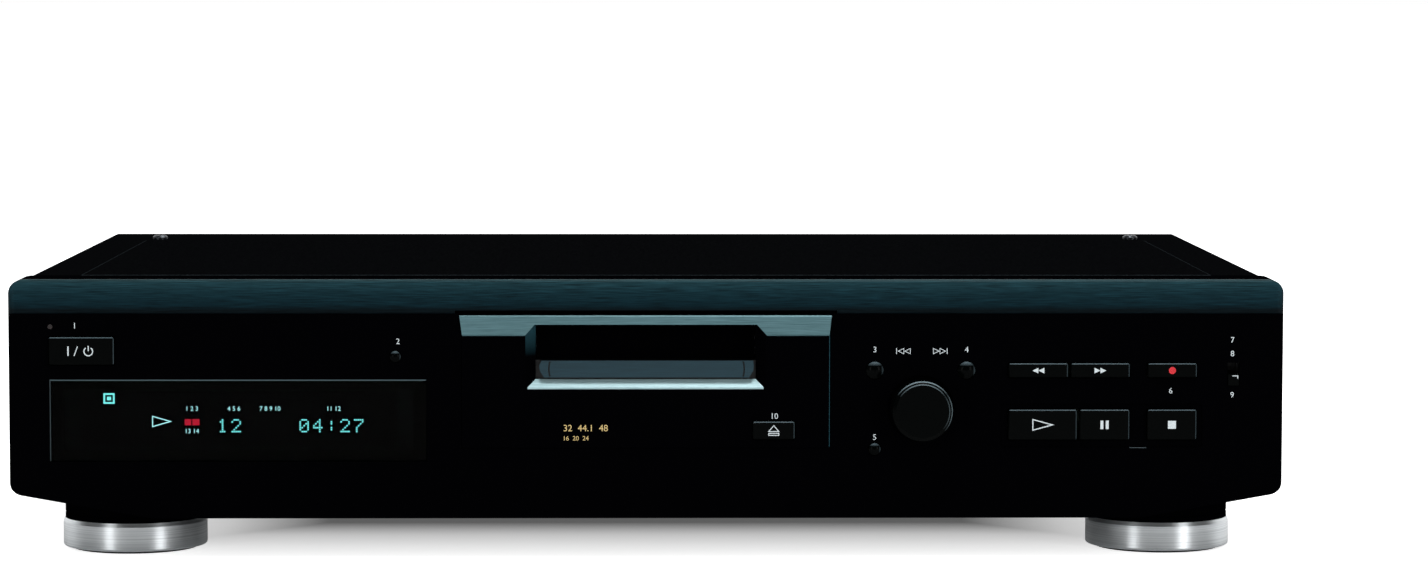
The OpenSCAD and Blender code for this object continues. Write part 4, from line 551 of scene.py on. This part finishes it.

# %% [markdown]
# The dark bar in the slot's mouth is the same metal, dyed a dark teal grey and brushed on its
# front face. Its grooves, its cut corners and the shoulder behind it are painted near black, a
# painted shade told from the front by their distance along Y.

# %% Grey anodised lip
LIP_SKIN = 0.08
material, tree, shader, place = begin("brushed_grey_anodised_aluminium", Metallic=0.45)
scratch = brush(tree, place, shader, 0.30, 0.48)
lip_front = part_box("slot_lip")[0].y
deep = add(tree, "SeparateXYZ", {0: place})
front = add(tree, "Math", {
    0: deep.outputs["Y"], 1: lip_front + LIP_SKIN * MM}, operation="LESS_THAN")
outside_painted_shade = add(tree, "MapRange", {"Value": scratch, "To Min": 0.55, "To Max": 1.0})
outside_painted_shade = add(tree, "Math", {0: front.outputs[0], 1: outside_painted_shade.outputs["Result"]}, operation="MULTIPLY")
tone = add(tree, "ValToRGB", {"Fac": outside_painted_shade.outputs[0]})
# The painted shade behind the bar's front face.
tone.color_ramp.elements[0].color = srgb("#030506")
tone.color_ramp.elements[1].color = srgb("#1C3B46")
tree.links.new(tone.outputs["Color"], shader.inputs["Base Color"])
dress(material, "slot_lip")

# %% [markdown]
# ## Turned foot rings
#
# Each ring is turned on a lathe, so the tool's fine grooves run round it. Such a surface
# spreads a highlight up and down, across the grooves: that makes the upright streaks. The
# shader's tangent is the way in which a highlight spreads. On any upright ring that is the
# normal crossed with Z, and crossed with the normal again, so one material serves all four
# rings with no UV map.

# %% Turned aluminium
GROOVE = 0.35
GROOVE_LENGTH = 90.0
material, tree, shader, place = begin(
    "lathe_turned_aluminium", Metallic=1.0, Roughness=0.38, Anisotropic=0.80)
facing = add(tree, "NewGeometry").outputs["Normal"]
round_about = add(tree, "VectorMath", {0: facing, 1: (0.0, 0.0, 1.0)}, operation="CROSS_PRODUCT")
upright = add(tree, "VectorMath", {
    0: facing, 1: round_about.outputs["Vector"]}, operation="CROSS_PRODUCT")
tree.links.new(upright.outputs["Vector"], shader.inputs["Tangent"])
flat = add(tree, "Mapping", {
    "Vector": place,
    "Scale": (per_mm(GROOVE_LENGTH), per_mm(GROOVE_LENGTH), per_mm(GROOVE))})
grooves = add(tree, "TexNoise", {"Vector": flat.outputs["Vector"], "Scale": 1.0, "Detail": 2.0})
tone = add(tree, "ValToRGB", {"Fac": grooves.outputs["Fac"]})
tone.color_ramp.elements[0].position = 0.3
tone.color_ramp.elements[0].color = srgb("#C8CDD0")
tone.color_ramp.elements[1].position = 0.7
tone.color_ramp.elements[1].color = srgb("#E6EAEC")
tree.links.new(tone.outputs["Color"], shader.inputs["Base Color"])
relief = add(tree, "Bump", {
    "Height": grooves.outputs["Fac"], "Strength": 0.08, "Distance": 0.02 * MM})
tree.links.new(relief.outputs["Normal"], shader.inputs["Normal"])
dress(material, "foot_rings")

# %% [markdown]
# ## Smoked acrylic window
#
# The window is clear acrylic, dyed so dark that the tube behind it shows only where it is
# lit. It passes light, tinted, and its polished face needs almost no roughness. Its face is
# bloomed against reflections, so its IOR is set far under the 1.49 of bare acrylic: the
# pale floor would lie over the figures otherwise. Its bevels along the top and the left pass
# nothing and carry a painted highlight, a pale line.

# %% Smoked acrylic
WINDOW_PASSES = "#565C60"
LEFT_SHARE = -0.78
material, tree, shader, place = begin("smoked_acrylic", IOR=1.08, Specular_IOR_Level=0.03)
window_bevel_highlight = painted_bevel_highlight(tree, LEFT_SHARE)
tone = add(tree, "ValToRGB", {"Fac": window_bevel_highlight})
tone.color_ramp.elements[0].color = srgb(WINDOW_PASSES)
# The painted highlight colour of the top and left bevels.
tone.color_ramp.elements[1].color = srgb("#48585D")
tree.links.new(tone.outputs["Color"], shader.inputs["Base Color"])
passed = add(tree, "Math", {0: 1.0, 1: window_bevel_highlight}, operation="SUBTRACT")
tree.links.new(passed.outputs[0], shader.inputs["Transmission Weight"])
haze = add(tree, "TexNoise", {"Vector": place, "Scale": per_mm(30.0), "Detail": 2.0})
dull = add(tree, "MapRange", {"Value": haze.outputs["Fac"], "To Min": 0.01, "To Max": 0.04})
tree.links.new(dull.outputs["Result"], shader.inputs["Roughness"])
dress(material, "display_window")

# %% [markdown]
# The tube is soda glass over a black anode plate: from outside, dark and glossy.

# %% Tube glass
material, tree, shader, place = begin(
    "soda_glass_over_anodes", IOR=1.52, Specular_IOR_Level=0.02)
shader.inputs["Base Color"].default_value = srgb("#020303")
mesh_wires = add(tree, "TexNoise", {"Vector": place, "Scale": per_mm(8.0), "Detail": 2.0})
dull = add(tree, "MapRange", {"Value": mesh_wires.outputs["Fac"], "To Min": 0.15, "To Max": 0.3})
tree.links.new(dull.outputs["Result"], shader.inputs["Roughness"])
dress(material, "display_tube")

# %% [markdown]
# ## Inside finishes
#
# The rest is seen through the vents and the slot, or with the cover off. Each is a base colour
# that a noise of the right size breaks up, and a roughness. One table holds what differs, in
# the order metal share, roughness, the darker and the paler colour, the size of the pattern
# in mm, and how deep its relief is in mm.

# %% Plain finishes from one table
FINISHES = {
    # Rolled and zinc plated: small bright crystals, no grain direction.
    "zinc_plated_steel": (1.0, 0.36, "#8E9498", "#C4C9CC", 1.6, 0.01, (
        "drive_bracket", "drive_base", "disc_holder", "guide_rods", "head_arm", "encoder_shaft",
        "encoder_plunger", "encoder_body")),
    # Plated and tumbled sleeves: brighter, with a soft grain.
    "nickel_plated_steel": (1.0, 0.24, "#A9AEB2", "#DADDDF", 0.9, 0.005, ("jack_shells",)),
    # Screws, zinc plated and passivated grey.
    "grey_passivated_steel": (1.0, 0.35, "#2A2D30", "#54585C", 0.9, 0.005, ("case_screws",)),
    # Motor cans are drawn from sheet, so they are smooth.
    "drawn_steel_cans": (1.0, 0.28, "#7C8286", "#B5BABE", 3.0, 0.01, ("drive_motors",)),
    # Sheets punched, stacked and varnished: rust brown with dark seams.
    "varnished_core_iron": (0.6, 0.55, "#2A2624", "#5A504A", 0.5, 0.03, ("transformer_core",)),
    # Polyester tape over the winding: amber, smooth.
    "amber_polyester_tape": (0.0, 0.30, "#A8741C", "#D9A53A", 5.0, 0.05, ("transformer_coil",)),
    # Soft moulded rubber: matt, with fine dust.
    "moulded_nitrile_rubber": (0.0, 0.80, "#0C0C0D", "#1C1C1E", 1.0, 0.03, (
        "foot_pads", "drive_dampers", "cord_gland")),
    # Polyacetal slides and gear: milky white, waxy.
    "moulded_polyacetal": (0.0, 0.38, "#D8D6CE", "#F0EEE6", 6.0, 0.01, (
        "loading_slider", "loading_gear", "spindle_table", "pickup_sled")),
    # The motor's pinion is cut from brass, and the lead screw is ground steel.
    "cut_brass": (1.0, 0.30, "#A5813A", "#D6B566", 1.2, 0.01, ("loading_pinion",)),
    "ground_steel": (1.0, 0.20, "#9A9FA3", "#CDD1D4", 0.6, 0.005, ("lead_screw",)),
    # Extruded fins: pale, with die lines.
    "extruded_aluminium": (1.0, 0.40, "#A0A5A8", "#CACED1", 0.8, 0.02, ("heat_sink",)),
    # Flat cable: grey-white vinyl over its wires.
    "flat_cable_vinyl": (0.0, 0.45, "#B9B4A4", "#DDD8C8", 2.0, 0.03, ("ribbon_cables",)),
    # Glass-filled nylon sockets and switches.
    "glass_filled_nylon": (0.0, 0.50, "#0E0F11", "#24262A", 0.7, 0.02, (
        "jack_block", "optical_sockets", "input_switch", "tact_switches")),
    # A lens of cast red epoxy over an unlit diode.
    "cast_red_epoxy": (0.0, 0.60, "#0A0202", "#1A0505", 0.6, 0.005, ("standby_lamp",)),
}
for name, (metal, rough, dark, pale, size, depth, nodes) in FINISHES.items():
    material, tree, shader, place = begin(name, Metallic=metal, Roughness=rough)
    pattern = add(tree, "TexNoise", {"Vector": place, "Scale": per_mm(size), "Detail": 3.0})
    tone = add(tree, "ValToRGB", {"Fac": pattern.outputs["Fac"]})
    tone.color_ramp.elements[0].position = 0.35
    tone.color_ramp.elements[0].color = srgb(dark)
    tone.color_ramp.elements[1].position = 0.65
    tone.color_ramp.elements[1].color = srgb(pale)
    tree.links.new(tone.outputs["Color"], shader.inputs["Base Color"])
    relief = add(tree, "Bump", {
        "Height": pattern.outputs["Fac"], "Strength": 0.3, "Distance": depth * MM})
    tree.links.new(relief.outputs["Normal"], shader.inputs["Normal"])
    dress(material, *nodes)

# %% [markdown]
# ## Circuit boards and their parts
#
# A board is glass-fibre epoxy with copper under green lacquer. Its pads are squarish, so a cell
# pattern whose distance is the larger of the offsets gives the paler patches.

# %% Boards
TRACK_CELL = 2.6
material, tree, shader, place = begin("lacquered_glass_epoxy", Roughness=0.38)
tracks = add(tree, "TexVoronoi", {"Vector": place, "Scale": per_mm(TRACK_CELL)},
             distance="CHEBYCHEV", feature="F1")
tone = add(tree, "ValToRGB", {"Fac": tracks.outputs["Distance"]})
tone.color_ramp.elements[0].position = 0.30
tone.color_ramp.elements[0].color = srgb("#2F6B45")
tone.color_ramp.elements[1].position = 0.36
tone.color_ramp.elements[1].color = srgb("#14402A")
tree.links.new(tone.outputs["Color"], shader.inputs["Base Color"])
dress(material, "main_board", "front_boards")

# %% [markdown]
# The parts on a board are many solids in one node. "Random Per Island" gives each its own
# colour: black cases, blue sleeves of capacitors, brown film.

# %% Parts on the boards
material, tree, shader, place = begin("moulded_and_sleeved_parts", Roughness=0.42)
each = add(tree, "NewGeometry").outputs["Random Per Island"]
tone = add(tree, "ValToRGB", {"Fac": each})
tone.color_ramp.interpolation = "CONSTANT"
tone.color_ramp.elements[0].color = srgb("#151618")
tone.color_ramp.elements[1].position = 0.45
tone.color_ramp.elements[1].color = srgb("#16284A")
tone.color_ramp.elements.new(0.80).color = srgb("#4A2C18")
tree.links.new(tone.outputs["Color"], shader.inputs["Base Color"])
dress(material, "board_parts")

# %% [markdown]
# ## Printed marks
#
# The signs on the keys and the panel are pad-printed ink, a few hundredths of a millimetre
# thick. A picture could hold them, but a mesh stays sharp at any size. Each sign is drawn by
# strokes: a thin rectangle, carried along a path in the plane of the face. A closed path
# joins its ends, and an open one gets a cap at each end.

# %% Strokes
INK_THICK = 0.02


def stroke(path, width, closed=False):
    """Carry a rectangle along a path of (x, z) points, in mm. At each point the two edges lie
    half a width to either side along the mitre: the mean of the two neighbouring lines' normals,
    divided by the cosine of half the turn. Returns (x, depth, z) points and faces; depth 0 is
    the back."""
    path = np.asarray(path, float)
    ahead = np.roll(path, -1, axis=0) - path
    if not closed:
        ahead[-1] = ahead[-2]
    ahead /= np.linalg.norm(ahead, axis=1, keepdims=True)
    before = np.roll(ahead, 1, axis=0)
    if not closed:
        before[0] = ahead[0]
    middle = ahead + before
    middle /= np.linalg.norm(middle, axis=1, keepdims=True)
    cosine = (middle * ahead).sum(axis=1, keepdims=True)
    side = np.stack([-middle[:, 1], middle[:, 0]], axis=1) / cosine * width / 2
    left, right = path + side, path - side
    count = len(path)
    rings = [(left, 1.0), (right, 1.0), (right, 0.0), (left, 0.0)]
    points = np.concatenate([
        np.column_stack([p[:, 0], np.full(count, d), p[:, 1]]) for p, d in rings])
    start = np.arange(count if closed else count - 1)
    following = (start + 1) % count
    quads = [np.column_stack([start + a * count, following + a * count,
                              following + b * count, start + b * count])
             for a, b in ((0, 1), (1, 2), (2, 3), (3, 0))]
    faces = np.concatenate(quads).tolist()
    if not closed:
        corner = np.arange(4) * count
        faces.append(corner[::-1].tolist())
        faces.append((corner + count - 1).tolist())
    return points, faces


print("a bar has", len(stroke([(0, 0), (1, 0)], 0.1)[1]), "faces")

# %% [markdown]
# Filled signs are flat shapes with a wall round them. Their outlines come from circles and
# boxes.

# %% Filled shapes
def patch(outline):
    """A filled flat shape: its outline, given anticlockwise as (x, z) in mm, in front and behind,
    with a wall of one quad along each side."""
    outline = np.asarray(outline, float)
    count = len(outline)
    front = np.column_stack([outline[:, 0], np.ones(count), outline[:, 1]])
    back = np.column_stack([outline[:, 0], np.zeros(count), outline[:, 1]])
    here = np.arange(count)
    following = (here + 1) % count
    walls = np.column_stack([here, here + count, following + count, following])
    faces = walls.tolist()
    faces.append(here.tolist())
    faces.append((here[::-1] + count).tolist())
    return np.concatenate([front, back]), faces


def arc(x, z, radius, first, last, steps=24):
    """Points on a circle about (x, z), between two angles in degrees from +X towards +Z."""
    angle = np.radians(np.linspace(first, last, steps))
    return np.column_stack([x + radius * np.cos(angle), z + radius * np.sin(angle)])


def rectangle(x0, x1, z0, z1):
    """The four corners of a box, anticlockwise."""
    return [(x0, z0), (x1, z0), (x1, z1), (x0, z1)]


def filled_box(x, z, half_width, half_height):
    """A filled box about its middle."""
    return patch(rectangle(x - half_width, x + half_width, z - half_height, z + half_height))


print("a filled box has", len(filled_box(0, 0, 1, 1)[1]), "faces")

# %% [markdown]
# A piece of ink is many strokes joined in one mesh. Its back lies on the surface that
# carries it and its front stands a film's thickness towards -Y. Recalculating the normals
# turns every closed stroke outwards. A sign on a key rides on that key's body, so it goes in
# when the key is pressed.

# %% Inked pieces
def printed(name, shapes, surface_y, body, material):
    """Join shapes into one object: depth 0 to 1 becomes y from the surface to the ink's front."""
    points = np.concatenate([shape[0] for shape in shapes])
    offsets = np.cumsum([0] + [len(shape[0]) for shape in shapes[:-1]])
    faces = [[int(v + offset) for v in face]
             for shape, offset in zip(shapes, offsets) for face in shape[1]]
    points = points * (1.0, -INK_THICK, 1.0) + (0.0, surface_y, 0.0)
    mesh = bpy.data.meshes.new(name)
    mesh.from_pydata((points * MM).tolist(), [], faces)
    mesh.materials.append(material)
    work = bmesh.new()
    work.from_mesh(mesh)
    bmesh.ops.recalc_face_normals(work, faces=work.faces)
    work.to_mesh(mesh)
    work.free()
    piece = bpy.data.objects.new(name, mesh)
    bpy.context.scene.collection.objects.link(piece)
    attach(piece, body)
    print(name, "on", body, "with", len(faces), "faces")


print("a piece of ink stands", INK_THICK, "mm off its surface")

# %% [markdown]
# Numbers come from Blender's own font. Its outlines are turned upright and set to the height
# that is asked for.

# %% Numerals
def numerals(text, x, z, height):
    """Plain numbers as a shape: Blender's own font set to a height in mm, centred on x, with its
    foot at z. The letters' thickness is moved to depth 0 to 1."""
    curve = bpy.data.curves.new("numerals", "FONT")
    curve.body = text
    curve.extrude = 0.5
    curve.resolution_u = 3
    holder = bpy.data.objects.new("numerals", curve)
    flat = bpy.data.meshes.new_from_object(holder)
    points = np.empty(len(flat.vertices) * 3)
    flat.vertices.foreach_get("co", points)
    points = points.reshape(-1, 3)
    faces = [list(face.vertices) for face in flat.polygons]
    bpy.data.objects.remove(holder)
    bpy.data.meshes.remove(flat)
    size = height / np.ptp(points[:, 1])
    middle = (points[:, 0].min() + points[:, 0].max()) / 2
    across = (points[:, 0] - middle) * size + x
    up = (points[:, 1] - points[:, 1].min()) * size + z
    return np.column_stack([across, points[:, 2] + 0.5, up]), faces


print("the numeral 8 has", len(numerals("8", 0, 0, 1.0)[0]), "points")

# %% [markdown]
# ## Inks
#
# Two-part screen ink cures to a matt film. It is pale grey on keys and panel, red for the
# record dot, and gold for the small figures beside the slot. The film is never quite even,
# so a fine noise moves its tone by a few percent.

# %% Ink colours
def ink(name, dark, pale):
    """Matt ink whose tone wanders between two close colours, in spots of 0.3 mm."""
    material, tree, shader, place = begin(name, Roughness=0.55, Specular_IOR_Level=0.3)
    spots = add(tree, "TexNoise", {"Vector": place, "Scale": per_mm(0.3), "Detail": 2.0})
    tone = add(tree, "ValToRGB", {"Fac": spots.outputs["Fac"]})
    tone.color_ramp.elements[0].color = srgb(dark)
    tone.color_ramp.elements[1].color = srgb(pale)
    tree.links.new(tone.outputs["Color"], shader.inputs["Base Color"])
    return material


GREY_INK = ink("cured_grey_screen_ink", "#AEB9BD", "#DAE2E5")
RED_INK = ink("cured_red_screen_ink", "#B01A24", "#D8303A")
GOLD_INK = ink("cured_gold_screen_ink", "#B3975A", "#DCC48A")
print("three inks")

# %% [markdown]
# ## Signs on the keys
#
# Rewind, forward, play, pause, stop, record, eject and power are common signs. Each is
# placed from the middle of its own key, and the flat front of a key is read off the frame, so
# ink and key can't drift apart.

# %% Sign helpers
def key_middle(key):
    """Middle of a key's front face, and the y of that face, in mm. The head's flange is wider than
    the cap all round by the same amount, so the box's middle is the cap's too."""
    low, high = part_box(key + "_key")
    return (low.x + high.x) / 2 / MM, (low.z + high.z) / 2 / MM, low.y / MM


def triangle(x, z, width, height):
    """Corners of a triangle that points to +X (a negative width points it to -X)."""
    back = x - width / 2
    return [(back, z - height / 2), (x + width / 2, z), (back, z + height / 2)]


def arrow(x, z, width, height):
    """A filled triangle, with its corners anticlockwise whichever way it points."""
    corners = triangle(x, z, width, height)
    return patch(corners if width > 0 else corners[::-1])


def open_arrow(x, z, width, height, line):
    """The triangle as an outline."""
    return stroke(triangle(x, z, width, height), line, closed=True)


def on_key(key, name, shapes, material):
    """Move shapes that are drawn round (0, 0) to the middle of a key's front, and ink them."""
    x, z, y = key_middle(key)
    moved = [(points + (x, 0.0, z), faces) for points, faces in shapes]
    printed(name, moved, y, key + "_key_cap", material)


print("the play key's middle and front, mm:", [round(v, 2) for v in key_middle("play")])

# %% [markdown]
# The transport keys carry the plain signs that every recorder has. All sizes are in mm.

# %% Transport signs
ARROW_W, ARROW_H = 2.0, 1.9
PLAY_W, PLAY_H, PLAY_LINE = 6.6, 3.6, 0.35
PAUSE_OFF, PAUSE_HALF_W, PAUSE_HALF_H = 0.9, 0.5, 1.45
STOP_HALF = 1.35
RECORD_RADIUS = 1.2
for key, way in (("rewind", -1), ("forward", 1)):
    pair = [arrow(side * ARROW_W / 2, 0, way * ARROW_W, ARROW_H) for side in (-1, 1)]
    on_key(key, key + "_sign", pair, GREY_INK)

on_key("play", "play_sign", [open_arrow(0, 0, PLAY_W, PLAY_H, PLAY_LINE)], GREY_INK)
bars = [filled_box(off, 0, PAUSE_HALF_W, PAUSE_HALF_H) for off in (-PAUSE_OFF, PAUSE_OFF)]
on_key("pause", "pause_sign", bars, GREY_INK)
on_key("stop", "stop_sign", [filled_box(0, 0, STOP_HALF, STOP_HALF)], GREY_INK)
on_key("record", "record_dot", [patch(arc(0, 0, RECORD_RADIUS, 0, 345))], RED_INK)

# %% [markdown]
# Eject is a roof over a slab. Power is an upright bar, a slash and an open ring with a tick.

# %% Eject and power signs
EJECT_HALF, EJECT_LINE = 1.7, 0.28
SIGN_HALF = 1.6
BAR_X, BAR_LINE = -4.4, 0.45
SLASH_X, SLASH_LINE = (-2.4, -1.2), 0.30
RING_X, RING_RADIUS, RING_LINE = 2.4, 1.45, 0.36
RING_ENDS = (125, 415)
roof = [(-EJECT_HALF, -0.3), (EJECT_HALF, -0.3), (0, EJECT_HALF)]
slab = rectangle(-EJECT_HALF, EJECT_HALF, -1.6, -0.9)
outlines = [stroke(shape, EJECT_LINE, closed=True) for shape in (roof, slab)]
on_key("eject", "eject_sign", outlines, GREY_INK)

on_bar = stroke([(BAR_X, -SIGN_HALF), (BAR_X, SIGN_HALF)], BAR_LINE)
slash = stroke([(SLASH_X[0], -SIGN_HALF), (SLASH_X[1], SIGN_HALF)], SLASH_LINE)
ring = stroke(arc(RING_X, -0.1, RING_RADIUS, *RING_ENDS), RING_LINE)
tick = stroke([(RING_X, 0), (RING_X, 1.8)], RING_LINE)
on_key("power", "power_sign", [on_bar, slash, ring, tick], GREY_INK)

# %% [markdown]
# ## Marks on the panel
#
# Each control has a plain number beside it, and two common outlined skip signs stand over the
# dial. The panel's front is the plane that they lie on, except by the slot, where the plate
# stands a little proud.

# %% Panel marks
FACE_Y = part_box("front_panel")[0].y / MM
PLATE_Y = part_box("slot_plate")[0].y / MM
FIGURE = 1.9
PANEL_FIGURES = (
    ("1", -192.5, 78.5), ("2", -84.0, 73.2), ("3", 76.7, 70.4), ("4", 107.7, 70.4),
    ("5", 76.7, 40.7), ("6", 176.8, 56.4), ("7", 197.6, 73.6), ("8", 197.6, 69.0),
    ("9", 197.6, 55.0))
figures = [numerals(text, x, z, FIGURE) for text, x, z in PANEL_FIGURES]
printed("panel_figures", figures, FACE_Y, "case", GREY_INK)

PLATE_FIGURE = ("10", 43.0, 47.9)
printed("plate_figure", [numerals(*PLATE_FIGURE, FIGURE)], PLATE_Y, "case", GREY_INK)

# %% [markdown]
# A skip sign is two outlined arrows and an upright bar. Two rows of gold figures stand on the
# slot's plate.

# %% Skip signs and gold figures
SKIP_Z, SKIP_HALF = 70.8, 1.0
SKIP_BARS = (84.0, 101.1)
SKIP_ARROWS = ((85.5, -1.9), (87.7, -1.9), (97.4, 1.9), (99.6, 1.9))
bars = [stroke([(x, SKIP_Z - SKIP_HALF), (x, SKIP_Z + SKIP_HALF)], 0.22) for x in SKIP_BARS]
arrows = [open_arrow(x, SKIP_Z, width, 1.8, 0.2) for x, width in SKIP_ARROWS]
printed("skip_signs", [bars[0], *arrows, bars[1]], FACE_Y, "case", GREY_INK)

GOLD_FIGURES = (("32  44.1  48", -20.8, 43.7, 2.2), ("16  20  24", -24.0, 40.6, 1.5))
gold = [numerals(*figure) for figure in GOLD_FIGURES]
printed("gold_figures", gold, PLATE_Y, "case", GOLD_INK)

# %% [markdown]
# Two small painted highlights finish the panel, lines of ink: one on the upper corner of the
# input lever, which rides on the lever, and one on the lower edge of the key tray between
# pause and stop.

# %% Small bright edges
LEVER_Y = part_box("input_lever")[0].y / MM
# Painted highlights: a grey ink corner on the lever and a dull grey ink line on the tray edge.
LEVER_GLINT_PATH = ((197.6, 62.4), (199.4, 62.4), (199.4, 61.5))
TRAY_GLINT_PATH = ((163.0, 38.0), (168.6, 38.0))
printed("lever_painted_glint", [stroke(LEVER_GLINT_PATH, 0.3)], LEVER_Y, "input_slider", GREY_INK)
PAINTED_GLINT_INK = ink("painted_edge_glint_ink", "#2C363A", "#46545A")
printed("tray_painted_glint", [stroke(TRAY_GLINT_PATH, 0.2)], FACE_Y, "case", PAINTED_GLINT_INK)

# %% [markdown]
# ## The lit display
#
# A fluorescent tube has phosphor dots on its anode plate. The dots glow by themselves, so
# their material is an emission, made strong enough to read through the smoked window.

# %% Phosphors
PHOSPHOR_LIGHT = 11.0
RED_SHARE = 0.8


def phosphor(name, colour, light):
    """Glowing powder: black where unlit, with its own light."""
    material, tree, shader, place = begin(
        name, Roughness=0.8, Specular_IOR_Level=0.0, Emission_Strength=light)
    shader.inputs["Base Color"].default_value = srgb("#050505")
    powder = add(tree, "TexNoise", {"Vector": place, "Scale": per_mm(0.5), "Detail": 1.0})
    tone = add(tree, "ValToRGB", {"Fac": powder.outputs["Fac"]})
    tone.color_ramp.elements[0].position = 0.2
    tone.color_ramp.elements[0].color = tuple(0.8 * c for c in srgb(colour)[:3]) + (1.0,)
    tone.color_ramp.elements[1].position = 0.6
    tone.color_ramp.elements[1].color = srgb(colour)
    tree.links.new(tone.outputs["Color"], shader.inputs["Emission Color"])
    return material


TEAL_GLOW = phosphor("teal_phosphor", "#7CE6DA", PHOSPHOR_LIGHT)
PALE_GLOW = phosphor("pale_teal_phosphor", "#B4F2EA", PHOSPHOR_LIGHT)
RED_GLOW = phosphor("red_phosphor", "#C01C30", PHOSPHOR_LIGHT * RED_SHARE)
print("phosphors glow at", PHOSPHOR_LIGHT)

# %% [markdown]
# Each digit is a grid of five by seven dots, and a lit dot is a small bright square. The
# table writes a digit as its seven rows from the top, with # for a lit dot.

# %% Dot-matrix digits
DOT_PITCH = 0.66
DOT_SIZE = 0.50
DIGIT_ROWS = {
    "0": ".###. #...# #..## #.#.# ##..# #...# .###.",
    "1": "..#.. .##.. ..#.. ..#.. ..#.. ..#.. .###.",
    "2": ".###. #...# ....# ...#. ..#.. .#... #####",
    "4": "...#. ..##. .#.#. #..#. ##### ...#. ...#.",
    "7": "##### ....# ...#. ..#.. .#... .#... .#...",
    "8": ".###. #...# #...# .###. #...# #...# .###.",
    ":": "..... ..#.. ..#.. ..... ..#.. ..#.. .....",
}


def dot_digit(sign, x, z):
    """One digit with its lower left dot at (x, z): a small square for each # of its seven rows."""
    rows = DIGIT_ROWS[sign].split()
    lit = np.array([[column, len(rows) - 1 - line] for line, row in enumerate(rows)
                    for column, mark in enumerate(row) if mark == "#"])
    places = lit * DOT_PITCH + (x, z)
    return [patch(rectangle(px, px + DOT_SIZE, pz, pz + DOT_SIZE)) for px, pz in places]


print(len(DIGIT_ROWS), "signs in the dot table")

# %% [markdown]
# The lit figures lie on the tube's front face, which is read off the frame: two plain numbers
# in dots, a square, an arrow, a red pair, and small plain numbers above and below them.

# %% Lit figures
TUBE_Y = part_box("display_tube")[0].y / MM
DIGIT_STEP = 4.6
DIGIT_Z = 43.0
LIT_NUMBERS = (("12", -145.0), ("04:27", -117.5))
SQUARE_RIM = (-183.2, -180.0, 53.0, 56.0)
SQUARE_CORE = (-182.3, -180.9, 53.9, 55.1)
SMALL_FIGURE = 1.5
SMALL_FIGURES = (
    ("1 2 3", -153.6, 50.3), ("4 5 6", -139.6, 50.3), ("7 8 9 10", -127.4, 50.3),
    ("11 12", -105.8, 50.3), ("13 14", -153.6, 42.7))
RED_PAIR = ((-156.2, -154.0, 45.4, 47.5), (-153.6, -151.2, 45.4, 47.5))
dots = []
for text, first_x in LIT_NUMBERS:
    for place_in_row, sign in enumerate(text):
        dots += dot_digit(sign, first_x + place_in_row * DIGIT_STEP, DIGIT_Z)
printed("lit_digits", dots, TUBE_Y, "case", TEAL_GLOW)

square = [stroke(rectangle(*SQUARE_RIM), 0.6, closed=True), patch(rectangle(*SQUARE_CORE))]
printed("lit_block", square, TUBE_Y, "case", TEAL_GLOW)
signs = [open_arrow(-164.0, 46.7, 6.0, 3.5, 0.32)]
signs += [numerals(text, x, z, SMALL_FIGURE) for text, x, z in SMALL_FIGURES]
printed("lit_signs", signs, TUBE_Y, "case", PALE_GLOW)
red = [patch(rectangle(*sides)) for sides in RED_PAIR]
printed("lit_red_block", red, TUBE_Y, "case", RED_GLOW)
